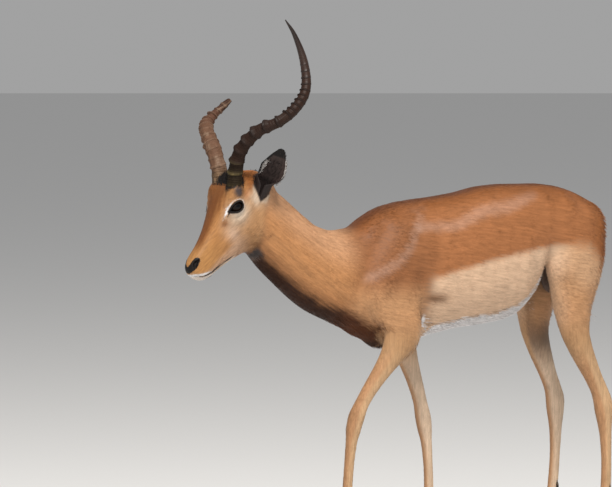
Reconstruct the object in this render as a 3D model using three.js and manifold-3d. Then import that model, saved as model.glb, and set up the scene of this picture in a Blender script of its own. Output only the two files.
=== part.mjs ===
// An impala ram, life size, standing in the middle of a walking step with its head turned a little to its
// left. Millimetres. +Z is up, the head end faces -X and the left side is -Y. The soles stand on z = 0.

import * as THREE from 'three';
import { mergeVertices } from 'three/addons/utils/BufferGeometryUtils.js';
import Module from 'manifold-3d';

const wasm = await Module();
wasm.setup();

// Driving dimensions
const clearance = 0.3;              // gap left between two pieces that touch
const skullTop = [-760, -20, 939];  // top of the skull, midway between the horns
const headTurn = 6;                 // degrees that the head is turned to the left
const muzzleDrop = 43;              // degrees that the muzzle points below level
const eyeRadius = 19;
const eyeSeat = [45, 34, -50];      // along the muzzle, out from the middle, above the muzzle line
const earLength = 133;
const earWall = 3;
const clawLength = 64;
const clawWidth = 21;
const clawSpread = 23;              // middle to middle of the two claws of a foot
const clawHeight = 44;
const pedicleRadius = 20;           // swelling of the skull under each horn

// Colours and finishes
const finishes = {
  rufous: { color: 0x9a5a2c, roughness: 0.62 },
  tan: { color: 0xb9793f, roughness: 0.65 },
  fawn: { color: 0xc79a68, roughness: 0.68 },
  white: { color: 0xe6dfd3, roughness: 0.75 },
  earGrey: { color: 0x6a5548, roughness: 0.8 },
  eyeBlack: { color: 0x120c09, roughness: 0.08 },
  hornBrown: { color: 0x4a372b, roughness: 0.5 },
  hoofBlack: { color: 0x1d1917, roughness: 0.45 },
};

const degrees = Math.PI / 180;
const vector = (x, y, z) => new THREE.Vector3(x, y, z);

// Head frame: along the muzzle, out to the left, and up off the bridge of the nose
const facing = vector(-Math.cos(headTurn * degrees), -Math.sin(headTurn * degrees), 0);
const leftward = vector(Math.sin(headTurn * degrees), -Math.cos(headTurn * degrees), 0);
const upward = vector(0, 0, 1);
const muzzleward = facing.clone().multiplyScalar(Math.cos(muzzleDrop * degrees));
muzzleward.addScaledVector(upward, -Math.sin(muzzleDrop * degrees));
const bridgeward = facing.clone().multiplyScalar(Math.sin(muzzleDrop * degrees));
bridgeward.addScaledVector(upward, Math.cos(muzzleDrop * degrees));

function inHead(along, out, above) {
  const point = vector(...skullTop);
  point.addScaledVector(muzzleward, along);
  point.addScaledVector(leftward, out);
  return point.addScaledVector(bridgeward, above);
}

// A point given by how far it lies out from, in front of and above the top of the skull
function aboveSkull(out, ahead, above) {
  const point = vector(...skullTop);
  point.addScaledVector(leftward, out);
  point.addScaledVector(facing, ahead);
  return point.addScaledVector(upward, above);
}

// Value of one column of a table between its rows: cubic steps that never overshoot a row
function between(rows, column, at) {
  const last = rows.length - 1;
  if (at <= rows[0][0]) {
    return rows[0][column];
  }
  if (at >= rows[last][0]) {
    return rows[last][column];
  }
  const i = rows.findIndex((row) => row[0] > at) - 1;
  const rise = (k) => (rows[k + 1][column] - rows[k][column]) / (rows[k + 1][0] - rows[k][0]);
  const slope = (k) => {
    if (k === 0) {
      return rise(0);
    }
    if (k === last) {
      return rise(last - 1);
    }
    const before = rise(k - 1);
    const after = rise(k);
    return before * after <= 0 ? 0 : (2 * before * after) / (before + after);
  };
  const span = rows[i + 1][0] - rows[i][0];
  const t = (at - rows[i][0]) / span;
  const start = (1 + 2 * t) * (1 - t) ** 2 * rows[i][column] + t * (1 - t) ** 2 * span * slope(i);
  const end = t * t * (3 - 2 * t) * rows[i + 1][column] - t * t * (1 - t) * span * slope(i + 1);
  return start + end;
}

// Evenly spaced numbers, both ends included
function spread(count, from, to) {
  return Array.from({ length: count }, (_, i) => from + ((to - from) * i) / (count - 1));
}

// One cross-section: a closed ring whose side, up and down reach are vectors from its centre
function section(centre, side, up, down, fullness, count) {
  return spread(count + 1, 0, 2 * Math.PI).slice(0, count).map((angle) => {
    const across = Math.cos(angle);
    const rise = Math.sin(angle);
    const point = centre.clone();
    point.addScaledVector(side, Math.sign(across) * Math.abs(across) ** fullness);
    return point.addScaledVector(rise > 0 ? up : down, Math.abs(rise) ** fullness);
  });
}

// A closed body from rings of equal count, each joined to the next, with a fan over each end
function loft(rings) {
  const count = rings[0].length;
  const points = rings.flat();
  const middle = (ring) => ring.reduce((sum, p) => sum.add(p), vector(0, 0, 0)).divideScalar(count);
  points.push(middle(rings[0]), middle(rings[rings.length - 1]));
  const faces = [];
  rings.slice(1).forEach((_, k) => {
    for (let i = 0; i < count; i += 1) {
      const a = k * count + i;
      const b = k * count + ((i + 1) % count);
      faces.push([a, b, b + count], [a, b + count, a + count]);
    }
  });
  const lastRing = (rings.length - 1) * count;
  for (let i = 0; i < count; i += 1) {
    const next = (i + 1) % count;
    faces.push([next, i, points.length - 2], [lastRing + i, lastRing + next, points.length - 1]);
  }
  return closedGeometry(points, faces);
}

// A thin closed body between two grids of points of equal size, joined by a strip all round their rims
function shell(outer, inner) {
  const rows = outer.length;
  const columns = outer[0].length;
  const index = (wall, row, column) => (wall * rows + row) * columns + column;
  const faces = [];
  const patch = (a, b, c, d) => faces.push([a, b, c], [a, c, d]);
  for (let i = 0; i < rows - 1; i += 1) {
    for (let j = 0; j < columns - 1; j += 1) {
      patch(index(0, i, j), index(0, i, j + 1), index(0, i + 1, j + 1), index(0, i + 1, j));
      patch(index(1, i, j), index(1, i + 1, j), index(1, i + 1, j + 1), index(1, i, j + 1));
    }
    patch(index(0, i, 0), index(0, i + 1, 0), index(1, i + 1, 0), index(1, i, 0));
    const end = columns - 1;
    patch(index(0, i + 1, end), index(0, i, end), index(1, i, end), index(1, i + 1, end));
  }
  for (let j = 0; j < columns - 1; j += 1) {
    patch(index(0, 0, j + 1), index(0, 0, j), index(1, 0, j), index(1, 0, j + 1));
    const end = rows - 1;
    patch(index(0, end, j), index(0, end, j + 1), index(1, end, j + 1), index(1, end, j));
  }
  return closedGeometry([...outer.flat(), ...inner.flat()], faces);
}

// Indexed geometry whose faces are turned outward by the sign of the volume they enclose
function closedGeometry(points, faces) {
  const volume = faces.reduce((sum, [a, b, c]) => {
    return sum + points[a].dot(points[b].clone().cross(points[c]));
  }, 0);
  const turned = volume < 0 ? faces.map(([a, b, c]) => [a, c, b]) : faces;
  const geometry = new THREE.BufferGeometry();
  geometry.setAttribute('position', new THREE.Float32BufferAttribute(points.flatMap((p) => p.toArray()), 3));
  geometry.setIndex(turned.flat());
  return geometry;
}

function solid(geometry) {
  const bare = geometry.clone();
  bare.deleteAttribute('normal');
  bare.deleteAttribute('uv');
  const merged = mergeVertices(bare, 1e-4);
  const vertProperties = new Float32Array(merged.attributes.position.array);
  const triVerts = new Uint32Array(merged.index.array);
  return new wasm.Manifold(new wasm.Mesh({ numProp: 3, vertProperties, triVerts }));
}

function geometryOf(body) {
  const mesh = body.getMesh();
  const geometry = new THREE.BufferGeometry();
  geometry.setAttribute('position', new THREE.BufferAttribute(Float32Array.from(mesh.vertProperties), 3));
  geometry.setIndex(Array.from(mesh.triVerts));
  return geometry;
}

// A piece cut back from its neighbours' grown copies, without the crumbs that a cut leaves
function cutBack(body, neighbours) {
  const rest = neighbours.reduce((left, neighbour) => left.subtract(neighbour), body);
  const lumps = rest.decompose();
  return lumps.reduce((big, lump) => (lump.volume() > big.volume() ? lump : big));
}

// Trunk: level sections along the spine. Columns are x, back, belly, half width
const trunkTable = [
  [-398, 742, 590, 40],
  [-385, 775, 568, 56],
  [-347, 830, 543, 82],
  [-318, 850, 523, 89],
  [-285, 865, 519, 95],
  [-219, 879, 535, 103],
  [-150, 886, 549, 112],
  [-80, 895, 561, 119],
  [0, 910, 569, 123],
  [60, 914, 580, 121],
  [101, 914, 606, 114],
  [120, 914, 632, 110],
  [132, 914, 664, 107],
  [148, 914, 697, 104],
  [200, 910, 706, 99],
  [250, 899, 712, 92],
  [292, 882, 735, 84],
  [322, 866, 762, 72],
  [338, 849, 784, 52],
  [347, 828, 802, 22],
];

function trunk(grow) {
  const stations = [-398, -388, -362, -322, -280, -215, -140, -60, 20, 70, 101, 118, 132, 147, 180, 230, 275,
    308, 330, 341, 347];
  const rings = stations.map((x) => {
    const back = between(trunkTable, 1, x) + grow;
    const belly = between(trunkTable, 2, x) - grow;
    const half = between(trunkTable, 3, x) + grow;
    const level = belly + 0.47 * (back - belly);
    const up = vector(0, 0, back - level);
    const down = vector(0, 0, belly - level);
    return section(vector(x, 0, level), vector(0, half, 0), up, down, 0.93, 22);
  });
  const scrotum = new THREE.SphereGeometry(27 + grow, 10, 6);
  scrotum.scale(1, 0.8, 1.5);
  scrotum.translate(218, 0, 678);
  return solid(loft(rings)).add(solid(scrotum));
}

// Neck: sections from crest to throat. Columns are place, crest x and z, throat x and z, half width, sideways
const neckTable = [
  [0, -694, 930, -738, 795, 38, -14],
  [1, -662, 944, -694, 757, 43, -11],
  [2, -622, 916, -655, 718, 47, -8],
  [3, -577, 883, -612, 682, 50, -5],
  [4, -532, 849, -565, 645, 56, -2],
  [5, -490, 822, -517, 614, 61, 0],
  [6, -445, 810, -466, 591, 68, 0],
  [7, -400, 814, -418, 573, 76, 0],
  [8, -350, 837, -372, 556, 82, 0],
  [9, -300, 856, -325, 548, 84, 0],
  [10, -250, 862, -280, 548, 76, 0],
];

function neck(grow) {
  const rings = spread(11, 0, 10).map((at) => {
    const row = [1, 2, 3, 4, 5, 6].map((k) => between(neckTable, k, at));
    const [crestX, crestZ, throatX, throatZ, half, aside] = row;
    const crest = vector(crestX, aside, crestZ);
    const throat = vector(throatX, aside, throatZ);
    const centre = crest.clone().lerp(throat, 0.54);
    const up = crest.sub(centre);
    const down = throat.sub(centre);
    up.setLength(up.length() + grow);
    down.setLength(down.length() + grow);
    return section(centre, vector(0, half + grow, 0), up, down, 0.95, 19);
  });
  return solid(loft(rings));
}

// Head: sections across the muzzle line. Columns are place, top, underside, half width, height share of the
// widest level, and fullness
const headTable = [
  [-84, -68, -104, 18, 0.5, 0.95],
  [-76, -50, -122, 33, 0.55, 0.95],
  [-58, -31, -140, 43, 0.6, 0.95],
  [-30, -11, -156, 48, 0.68, 0.9],
  [0, 0, -168, 49, 0.72, 0.84],
  [30, -5, -175, 51, 0.74, 0.84],
  [54, -14, -176, 51, 0.74, 0.86],
  [80, -26, -168, 45, 0.7, 0.87],
  [104, -36, -158, 39, 0.66, 0.88],
  [135, -47, -149, 33, 0.6, 0.88],
  [170, -56, -140, 28.5, 0.55, 0.86],
  [200, -61, -133, 26.5, 0.5, 0.82],
  [220, -67, -127, 24, 0.5, 0.82],
  [230, -74, -116, 18.5, 0.52, 0.85],
  [236, -82, -102, 9, 0.55, 0.9],
];

function head(grow) {
  const stations = [-84, -76, -60, -35, -8, 18, 40, 58, 78, 102, 130, 158, 184, 206, 220, 230, 236];
  const rings = stations.map((at) => {
    const top = between(headTable, 1, at) + grow;
    const under = between(headTable, 2, at) - grow;
    const half = between(headTable, 3, at) + grow;
    const level = under + between(headTable, 4, at) * (top - under);
    const side = leftward.clone().multiplyScalar(half);
    const up = bridgeward.clone().multiplyScalar(top - level);
    const down = bridgeward.clone().multiplyScalar(under - level);
    return section(inHead(at, 0, level), side, up, down, between(headTable, 5, at), 17);
  });
  const pedicles = [1, -1].map((side) => {
    const swelling = new THREE.SphereGeometry(pedicleRadius + grow, 10, 6);
    swelling.translate(...aboveSkull(side * 31 + 2, -6, 8 - pedicleRadius).toArray());
    return solid(swelling);
  });
  return pedicles.reduce((whole, swelling) => whole.add(swelling), solid(loft(rings)));
}

// Limb: rings square to a smooth path through its joints. Columns are place along the joints, then reach to
// the front, to the back and to each side
function limb(joints, table, ringCount, grow) {
  const path = new THREE.CatmullRomCurve3(joints.map((joint) => vector(...joint)), false, 'centripetal');
  const end = joints.length - 1;
  const rings = spread(ringCount, 0, end).map((at) => {
    const tangent = path.getTangent(at / end);
    const side = vector(0, 1, 0);
    const front = side.clone().cross(tangent).normalize();
    front.multiplyScalar(Math.sign(-front.x) || 1);
    const reach = (column) => between(table, column, at) + grow;
    const ahead = front.clone().multiplyScalar(reach(1));
    const behind = front.clone().multiplyScalar(-reach(2));
    const centre = path.getPoint(at / end);
    centre.addScaledVector(tangent, grow * (Number(at === end) - Number(at === 0)));
    return section(centre, side.multiplyScalar(reach(3)), ahead, behind, 0.96, 10);
  });
  return solid(loft(rings));
}

const forelegTable = [
  [0, 26, 26, 14],
  [0.12, 44, 42, 24],
  [0.4, 66, 60, 32],
  [0.8, 82, 74, 37],
  [1.0, 86, 76, 38],
  [1.4, 76, 68, 34],
  [1.75, 60, 60, 31],
  [2.0, 49, 58, 28],
  [2.15, 40, 45, 26],
  [2.3, 31, 32, 24],
  [2.45, 25, 25, 21.5],
  [2.65, 20.5, 20.5, 19],
  [2.85, 18.5, 18.5, 18],
  [3.0, 21, 20, 20.5],
  [3.12, 20, 18.5, 19.5],
  [3.25, 15, 15, 15.5],
  [3.5, 13, 13, 13],
  [3.85, 13.5, 14, 13.5],
  [4.0, 16, 21, 18],
  [4.3, 15, 16, 16.5],
  [4.7, 17, 18, 19],
  [5.0, 18, 20, 20],
];

const hindlegTable = [
  [0, 26, 30, 14],
  [0.12, 60, 50, 27],
  [0.35, 85, 80, 38],
  [0.65, 90, 84, 44],
  [1.0, 77, 76, 44],
  [1.4, 57, 61, 41],
  [1.75, 46, 51, 37],
  [2.0, 40, 44, 33],
  [2.2, 34, 36, 28],
  [2.45, 27, 30, 23],
  [2.65, 21, 27, 19.5],
  [2.8, 19, 30, 17.5],
  [2.92, 21, 33, 18.5],
  [3.0, 22, 30, 20],
  [3.1, 20, 24, 19],
  [3.25, 16, 17, 16],
  [3.5, 14, 14.5, 13.5],
  [3.85, 14.5, 15, 14],
  [4.0, 17, 21, 18],
  [4.3, 16, 17, 17],
  [4.7, 17, 18, 19],
  [5.0, 18, 20, 20],
];

// Joints from the top of each limb down to the coronet. The left fore reaches forward, the right one trails
const limbs = {
  foreleg_left: {
    table: forelegTable,
    joints: [[-252, -46, 812], [-306, -70, 664], [-292, -78, 556], [-414, -70, 360], [-449, -65, 112],
      [-477, -65, 42]],
  },
  foreleg_right: {
    table: forelegTable,
    joints: [[-236, 46, 812], [-262, 70, 664], [-195, 76, 556], [-124, 66, 342], [-112, 62, 103],
      [-131, 62, 42]],
  },
  hindleg_left: {
    table: hindlegTable,
    joints: [[274, -48, 846], [233, -68, 690], [228, -79, 560], [312, -86, 352], [317, -86, 103],
      [298, -86, 42]],
  },
  hindleg_right: {
    table: hindlegTable,
    joints: [[274, 48, 846], [232, 68, 690], [222, 79, 562], [290, 86, 352], [278, 86, 103],
      [259, 86, 42]],
  },
};

const limbOf = (name, grow) => limb(limbs[name].joints, limbs[name].table, 24, grow);

// Claw: upright sections from a flat sole up to the coronet, long and narrowing to the toe
function claw(foot, side, grow) {
  const [x, y] = foot;
  const levels = [[-grow, 1], [14, 0.95], [clawHeight - 8, 0.78], [clawHeight + grow, 0.62]];
  const rings = levels.map(([z, size]) => {
    const half = (clawWidth / 2) * size ** 0.5 + grow;
    const toe = clawLength * 0.56 * size + grow;
    const heel = clawLength * 0.44 * size ** 0.3 + grow;
    const lean = (clawHeight - z) * 0.12;
    return spread(9, 0, 2 * Math.PI).slice(0, 8).map((angle) => {
      const forward = Math.cos(angle);
      const narrowing = 1 - 0.35 * Math.max(0, forward) ** 2;
      const px = x - lean - forward * (forward > 0 ? toe : heel);
      return vector(px, y + (side * clawSpread) / 2 + Math.sin(angle) * half * narrowing, z);
    });
  });
  return solid(loft(rings));
}

// Horn: rings square to a curve, crossed by ridges that stand up most along the front. Columns of the table
// are the share of the length, the radius and the height of the ridges as a share of it
function horn(points, table, ridges, ringCount, grow) {
  const curve = new THREE.CatmullRomCurve3(points, false, 'centripetal');
  const frames = curve.computeFrenetFrames(ringCount - 1, false);
  const start = Math.atan2(facing.dot(frames.binormals[0]), facing.dot(frames.normals[0]));
  const rings = spread(ringCount, 0, 1).map((at, k) => {
    const radius = between(table, 1, at);
    const crest = between(table, 2, at) * (0.5 + 0.5 * Math.cos(2 * Math.PI * ridges * at)) ** 1.5;
    return spread(10, 0, 2 * Math.PI).slice(0, 9).map((angle) => {
      const front = 0.5 + 0.5 * Math.cos(angle - start);
      const reach = radius * (1 + crest * (0.35 + 0.65 * front)) + grow;
      const point = curve.getPointAt(at);
      point.addScaledVector(frames.normals[k], reach * Math.cos(angle));
      return point.addScaledVector(frames.binormals[k], reach * Math.sin(angle));
    });
  });
  return solid(loft(rings));
}

// Both horns sweep out, back and then up. The right one is broken off past its first bend
const horns = {
  horn_left: {
    ridges: 19,
    rings: 51,
    points: [[34, 0, -14], [37, -1, 18], [56, -1, 66], [104, -17, 114], [139, -48, 135], [145, -92, 164],
      [138, -133, 209], [124, -141, 273], [109, -122, 343], [99, -103, 377]],
    table: [[0, 18, 0], [0.07, 18, 0.05], [0.12, 17, 0.3], [0.3, 14.5, 0.32], [0.5, 13, 0.25],
      [0.66, 12, 0.12], [0.76, 10.5, 0], [0.87, 7, 0], [0.95, 4, 0], [1, 1.2, 0]],
  },
  horn_right: {
    ridges: 15,
    rings: 28,
    points: [[-27, -6, -14], [-31, -6, 18], [-50, -6, 62], [-101, -25, 109], [-138, -60, 133],
      [-144, -96, 158], [-138, -127, 183]],
    table: [[0, 18.5, 0], [0.1, 19, 0.06], [0.3, 19.5, 0.12], [0.5, 18.5, 0.14], [0.68, 14.5, 0.15],
      [0.86, 10.5, 0.2], [1, 5.5, 0]],
  },
};

function hornOf(name, grow) {
  const { points, table, ridges, rings } = horns[name];
  return horn(points.map((p) => aboveSkull(...p)), table, ridges, rings, grow);
}

// Ear: a leaf rolled into a tube at its root and opening into a cup. Columns are the share of the length, how
// far the middle lies to the back, half width, depth of the cup and half the angle of the roll
const earTable = [
  [0, -16, 15, 15, 3.0],
  [0.14, -17, 19, 18, 3.0],
  [0.28, -18, 22, 18, 2.95],
  [0.34, -16, 24, 17, 2.5],
  [0.4, -11.5, 26.5, 16, 1.95],
  [0.46, -9, 29, 14.5, 1.6],
  [0.53, -7.5, 30.5, 13, 1.4],
  [0.61, -8.5, 30, 11, 1.27],
  [0.7, -7, 26, 9, 1.2],
  [0.82, -6, 19, 6, 1.1],
  [0.92, -4.5, 12, 3.5, 1.0],
  [0.97, -4, 7.5, 2, 1.0],
  [1, -3.5, 3, 1.5, 1.0],
];

function ear({ base, tip, opening, back }, grow) {
  const axis = tip.clone().sub(base).normalize();
  const across = axis.clone().cross(opening).normalize();
  const outward = across.clone().cross(axis).normalize();
  const pointAt = (at, turn) => {
    const [middle, halfWidth, cup, roll] = [1, 2, 3, 4].map((k) => between(earTable, k, at));
    const widest = Math.sin(Math.min(roll, Math.PI / 2));
    const point = base.clone().addScaledVector(axis, earLength * at);
    point.addScaledVector(across, back * middle + (halfWidth * Math.sin(turn * roll)) / widest);
    return point.addScaledVector(outward, -cup * Math.cos(turn * roll));
  };
  const alongCount = 10;
  const acrossCount = 8;
  const margin = grow / 20;
  const widened = (steps) => (grow ? [steps[0] - margin, ...steps, steps[steps.length - 1] + margin] : steps);
  const walls = [1, -1].map((face) => widened(spread(alongCount, 0, 1)).map((at) => {
    return widened(spread(acrossCount, -1, 1)).map((turn) => {
      const lengthwise = pointAt(at + 0.01, turn).sub(pointAt(at - 0.01, turn));
      const crosswise = pointAt(at, turn + 0.01).sub(pointAt(at, turn - 0.01));
      const normal = lengthwise.cross(crosswise).normalize();
      return pointAt(at, turn).addScaledVector(normal, face * (earWall / 2 + grow));
    });
  }));
  return solid(shell(walls[0], walls[1]));
}

const ears = {
  ear_left: {
    base: inHead(-27, 43, -97),
    tip: inHead(-118, 98, -19),
    opening: facing.clone().multiplyScalar(0.6).addScaledVector(leftward, 0.8),
    back: 1,
  },
  ear_right: {
    base: inHead(-27, -43, -97),
    tip: inHead(-128, -90, -132),
    opening: facing.clone().multiplyScalar(0.1).addScaledVector(leftward, -1).addScaledVector(upward, -0.15),
    back: -1,
  },
};

const earOf = (name, grow) => ear(ears[name], grow);

function eye(side, grow) {
  const ball = new THREE.SphereGeometry(eyeRadius + grow, 10, 7);
  const [along, out, above] = eyeSeat;
  ball.translate(...inHead(along, side * out, above).toArray());
  return solid(ball);
}

// Tail: hangs down the cleft of the rump, widest two thirds down
const tailJoints = [[306, 0, 858], [336, 0, 832], [341, 0, 772], [332, 0, 706], [321, 0, 640], [313, 0, 568]];
const tailTable = [
  [0, 10, 12, 14],
  [0.8, 11, 12, 15],
  [2, 10, 11, 17],
  [3.4, 11, 12, 21],
  [4.4, 10, 10, 17],
  [5, 3, 3, 4],
];
const tail = (grow) => limb(tailJoints, tailTable, 11, grow);

const sides = { left: -1, right: 1 };
const limbNames = Object.keys(limbs);
const feet = Object.fromEntries(limbNames.map((name) => {
  const coronet = limbs[name].joints[5];
  return [name, [coronet[0] - 4, coronet[1]]];
}));
const clawNames = limbNames.flatMap((name) => ['inner', 'outer'].map((place) => [name, place]));
const clawSide = (name, place) => (name.endsWith('left') ? -1 : 1) * (place === 'outer' ? 1 : -1);

const grownLimbs = limbNames.map((name) => limbOf(name, clearance));
const grownHorns = Object.keys(horns).map((name) => hornOf(name, clearance));
const grownEars = Object.keys(ears).map((name) => earOf(name, clearance));
const grownEyes = Object.values(sides).map((side) => eye(-side, clearance));

const model = new THREE.Group();

function addPiece(name, body, finish) {
  const mesh = new THREE.Mesh(geometryOf(body), new THREE.MeshStandardMaterial(finishes[finish]));
  mesh.name = name;
  model.add(mesh);
}

addPiece('trunk', cutBack(trunk(0), [...grownLimbs, tail(clearance)]), 'rufous');
const grownTrunk = trunk(clearance);
const grownHead = head(clearance);
addPiece('neck', cutBack(neck(0), [grownTrunk, grownHead, ...grownLimbs, ...grownEars]), 'tan');
addPiece('head', cutBack(head(0), [...grownHorns, ...grownEars, ...grownEyes]), 'tan');
addPiece('tail', tail(0), 'white');
Object.keys(horns).forEach((name) => addPiece(name, hornOf(name, 0), 'hornBrown'));
Object.keys(ears).forEach((name) => addPiece(name, earOf(name, 0), 'earGrey'));
Object.entries(sides).forEach(([name, side]) => addPiece(`eye_${name}`, eye(-side, 0), 'eyeBlack'));
limbNames.forEach((name) => {
  const claws = [-1, 1].map((side) => claw(feet[name], side, clearance));
  addPiece(name, cutBack(limbOf(name, 0), claws), 'fawn');
});
clawNames.forEach(([name, place]) => {
  const hoof = claw(feet[name], clawSide(name, place), 0);
  addPiece(`claw_${name.replace('leg', '')}_${place}`, hoof, 'hoofBlack');
});

// The origin is at the middle of the model's box on the ground
const box = new THREE.Box3().setFromObject(model);
const centre = box.getCenter(vector(0, 0, 0));
model.children.forEach((mesh) => mesh.geometry.translate(-centre.x, -centre.y, -box.min.z));

export default model;
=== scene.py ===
# An impala ram in mid step: one skin over the flesh, with its coat, horns, eyes and hooves.
# Metres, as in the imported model: +Z is up, the head end faces -X and the left side is -Y.
import math

import bmesh
import bpy
import numpy as np
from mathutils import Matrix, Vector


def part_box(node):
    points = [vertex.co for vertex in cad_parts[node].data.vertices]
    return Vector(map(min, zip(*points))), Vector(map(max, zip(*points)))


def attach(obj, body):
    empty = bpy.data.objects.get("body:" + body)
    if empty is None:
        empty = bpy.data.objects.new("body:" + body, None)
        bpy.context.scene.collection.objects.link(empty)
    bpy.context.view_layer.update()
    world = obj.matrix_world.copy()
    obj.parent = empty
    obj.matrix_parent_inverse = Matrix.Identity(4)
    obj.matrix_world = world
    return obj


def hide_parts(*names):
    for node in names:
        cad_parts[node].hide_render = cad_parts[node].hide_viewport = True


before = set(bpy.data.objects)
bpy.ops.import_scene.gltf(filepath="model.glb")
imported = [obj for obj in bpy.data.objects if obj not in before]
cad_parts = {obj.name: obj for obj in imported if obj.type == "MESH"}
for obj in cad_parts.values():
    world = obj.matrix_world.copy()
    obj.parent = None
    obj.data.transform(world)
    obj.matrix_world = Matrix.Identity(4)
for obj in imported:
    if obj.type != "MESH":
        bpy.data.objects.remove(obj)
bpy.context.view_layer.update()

import openvdb
from mathutils import Vector

mm = 0.001
sides = (("left", 1), ("right", -1))

# Places shared by every piece: millimetres from the middle of the trunk on the ground, before the shift
pose = dict(skullTop=(-760, -20, 939), headTurn=6, muzzleDrop=43, eyeSeat=(45, 34, -50))

turn, drop = math.radians(pose["headTurn"]), math.radians(pose["muzzleDrop"])
facing = np.array([-math.cos(turn), -math.sin(turn), 0])
leftward = np.array([math.sin(turn), -math.cos(turn), 0])
upward = np.array([0, 0, 1.0])
rightward = np.array([0, 1.0, 0])
muzzleward = facing * math.cos(drop) - upward * math.sin(drop)
bridgeward = facing * math.sin(drop) + upward * math.cos(drop)
skullTop = np.array(pose["skullTop"], float)

eyeLow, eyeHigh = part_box("eye_left")
along, out, above = pose["eyeSeat"]
eyeDrawn = skullTop + muzzleward * along + leftward * out + bridgeward * above
shift = (np.array(eyeLow) + np.array(eyeHigh)) / 2 - eyeDrawn * mm


def place(points):
    # millimetres of the drawing to metres of the frame
    return np.asarray(points, float) * mm + shift


def drawn(points):
    # metres of the frame back to millimetres of the drawing
    return (np.asarray(points, float) - shift) / mm


def inHead(along, out, above):
    # a point given along the muzzle, out to the left and up off the bridge of the nose
    return (skullTop + np.multiply.outer(along, muzzleward) + np.multiply.outer(out, leftward)
            + np.multiply.outer(above, bridgeward))


def headPlace(points):
    # the reverse of inHead, for points in millimetres
    away = points - skullTop
    return away @ muzzleward, away @ leftward, away @ bridgeward


def aboveSkull(points):
    # rows of out, ahead and above the top of the skull
    rows = np.asarray(points, float)
    return skullTop + rows[:, :1] * leftward + rows[:, 1:2] * facing + rows[:, 2:3] * upward


def between(rows, column, at):
    # cubic steps through one column of a table, with slopes that never overshoot a row
    rows = np.asarray(rows, float)
    x, y = rows[:, 0], rows[:, column]
    rise = np.diff(y) / np.diff(x)
    inner = np.where(rise[1:] * rise[:-1] > 0, 2 * rise[1:] * rise[:-1] / (rise[1:] + rise[:-1] + 1e-12), 0)
    slope = np.concatenate([rise[:1], inner, rise[-1:]])
    at = np.clip(at, x[0], x[-1])
    i = np.clip(np.searchsorted(x, at, side="right") - 1, 0, len(x) - 2)
    span = x[i + 1] - x[i]
    t = (at - x[i]) / span
    low = (1 + 2 * t) * (1 - t) ** 2 * y[i] + t * (1 - t) ** 2 * span * slope[i]
    return low + t * t * (3 - 2 * t) * y[i + 1] - t * t * (1 - t) * span * slope[i + 1]


def pathThrough(joints, at):
    # centripetal curve through the joints, where whole numbers of at are the joints
    joints = np.asarray(joints, float)
    ends = np.vstack([2 * joints[0] - joints[1], joints, 2 * joints[-1] - joints[-2]])
    i = np.clip(np.floor(at).astype(int), 0, len(joints) - 2)
    t = (at - i)[:, None]
    p0, p1, p2, p3 = (ends[i + k] for k in range(4))
    d0, d1, d2 = (np.sqrt(np.linalg.norm(b - a, axis=1))[:, None] for a, b in ((p0, p1), (p1, p2), (p2, p3)))
    s1 = ((p1 - p0) / d0 - (p2 - p0) / (d0 + d1) + (p2 - p1) / d1) * d1
    s2 = ((p2 - p1) / d1 - (p3 - p1) / (d1 + d2) + (p3 - p2) / d2) * d1
    return p1 + s1 * t + (-3 * p1 + 3 * p2 - 2 * s1 - s2) * t**2 + (2 * p1 - 2 * p2 + s1 + s2) * t**3


def unit(vectors):
    # each vector over its own length
    return vectors / np.maximum(np.linalg.norm(vectors, axis=-1, keepdims=True), 1e-12)


def smoothStep(low, high, value):
    # t x t x (3 - 2t), where t runs from 0 at low to 1 at high
    t = np.clip((value - low) / (high - low), 0, 1)
    return t * t * (3 - 2 * t)


def circle(count):
    # equal steps round a full turn
    return np.linspace(0, 2 * np.pi, count, endpoint=False)


def sections(centre, side, up, down, square, count):
    # closed rings: centre + side x |cos| to the power of square + up or down x |sin| to the same power
    angle = circle(count)
    across = np.cos(angle)
    rise = np.abs(np.sin(angle))
    square = np.broadcast_to(square, len(centre))[:, None]
    sideways = (np.sign(across) * np.abs(across) ** square)[..., None] * side[:, None, :]
    upDown = np.where(np.sin(angle)[None, :, None] > 0, up[:, None, :], down[:, None, :])
    return centre[:, None, :] + sideways + (rise[None, :] ** square)[..., None] * upDown


def gridFaces(rows, columns, wrap):
    # quads between the points of a grid, wrapping round its columns or not
    last = columns if wrap else columns - 1
    i, j = np.meshgrid(np.arange(rows - 1), np.arange(last), indexing="ij")
    k = (j + 1) % columns
    near, far = i * columns, (i + 1) * columns
    return np.stack([near + j, near + k, far + k, far + j], -1).reshape(-1, 4)


def loft(rings):
    # a closed body: quads between the rings and a fan of triangles over each end
    rows, columns = rings.shape[:2]
    points = np.vstack([rings.reshape(-1, 3), rings[0].mean(0), rings[-1].mean(0)])
    j = np.arange(columns)
    k = (j + 1) % columns
    first = np.stack([k, j, np.full(columns, rows * columns)], 1)
    last = np.stack([j, k, np.full(columns, rows * columns + 1)], 1)
    last[:, :2] += (rows - 1) * columns
    return points, gridFaces(rows, columns, True), np.vstack([first, last])


# The flesh: the same tables of sections as the solids
trunkTable = [  # place from the head end, back, belly, half width
    [-398, 742, 590, 40], [-385, 775, 568, 56], [-347, 830, 543, 82], [-318, 850, 523, 89],
    [-285, 865, 519, 95], [-219, 879, 535, 103], [-150, 886, 549, 112], [-80, 895, 561, 119],
    [0, 910, 569, 123], [60, 914, 580, 121], [101, 914, 606, 114], [120, 914, 632, 110],
    [132, 914, 664, 107], [148, 914, 697, 104], [200, 910, 706, 99], [250, 899, 712, 92],
    [292, 882, 735, 84], [322, 866, 762, 72], [338, 849, 784, 52], [347, 828, 802, 22],
]

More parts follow.
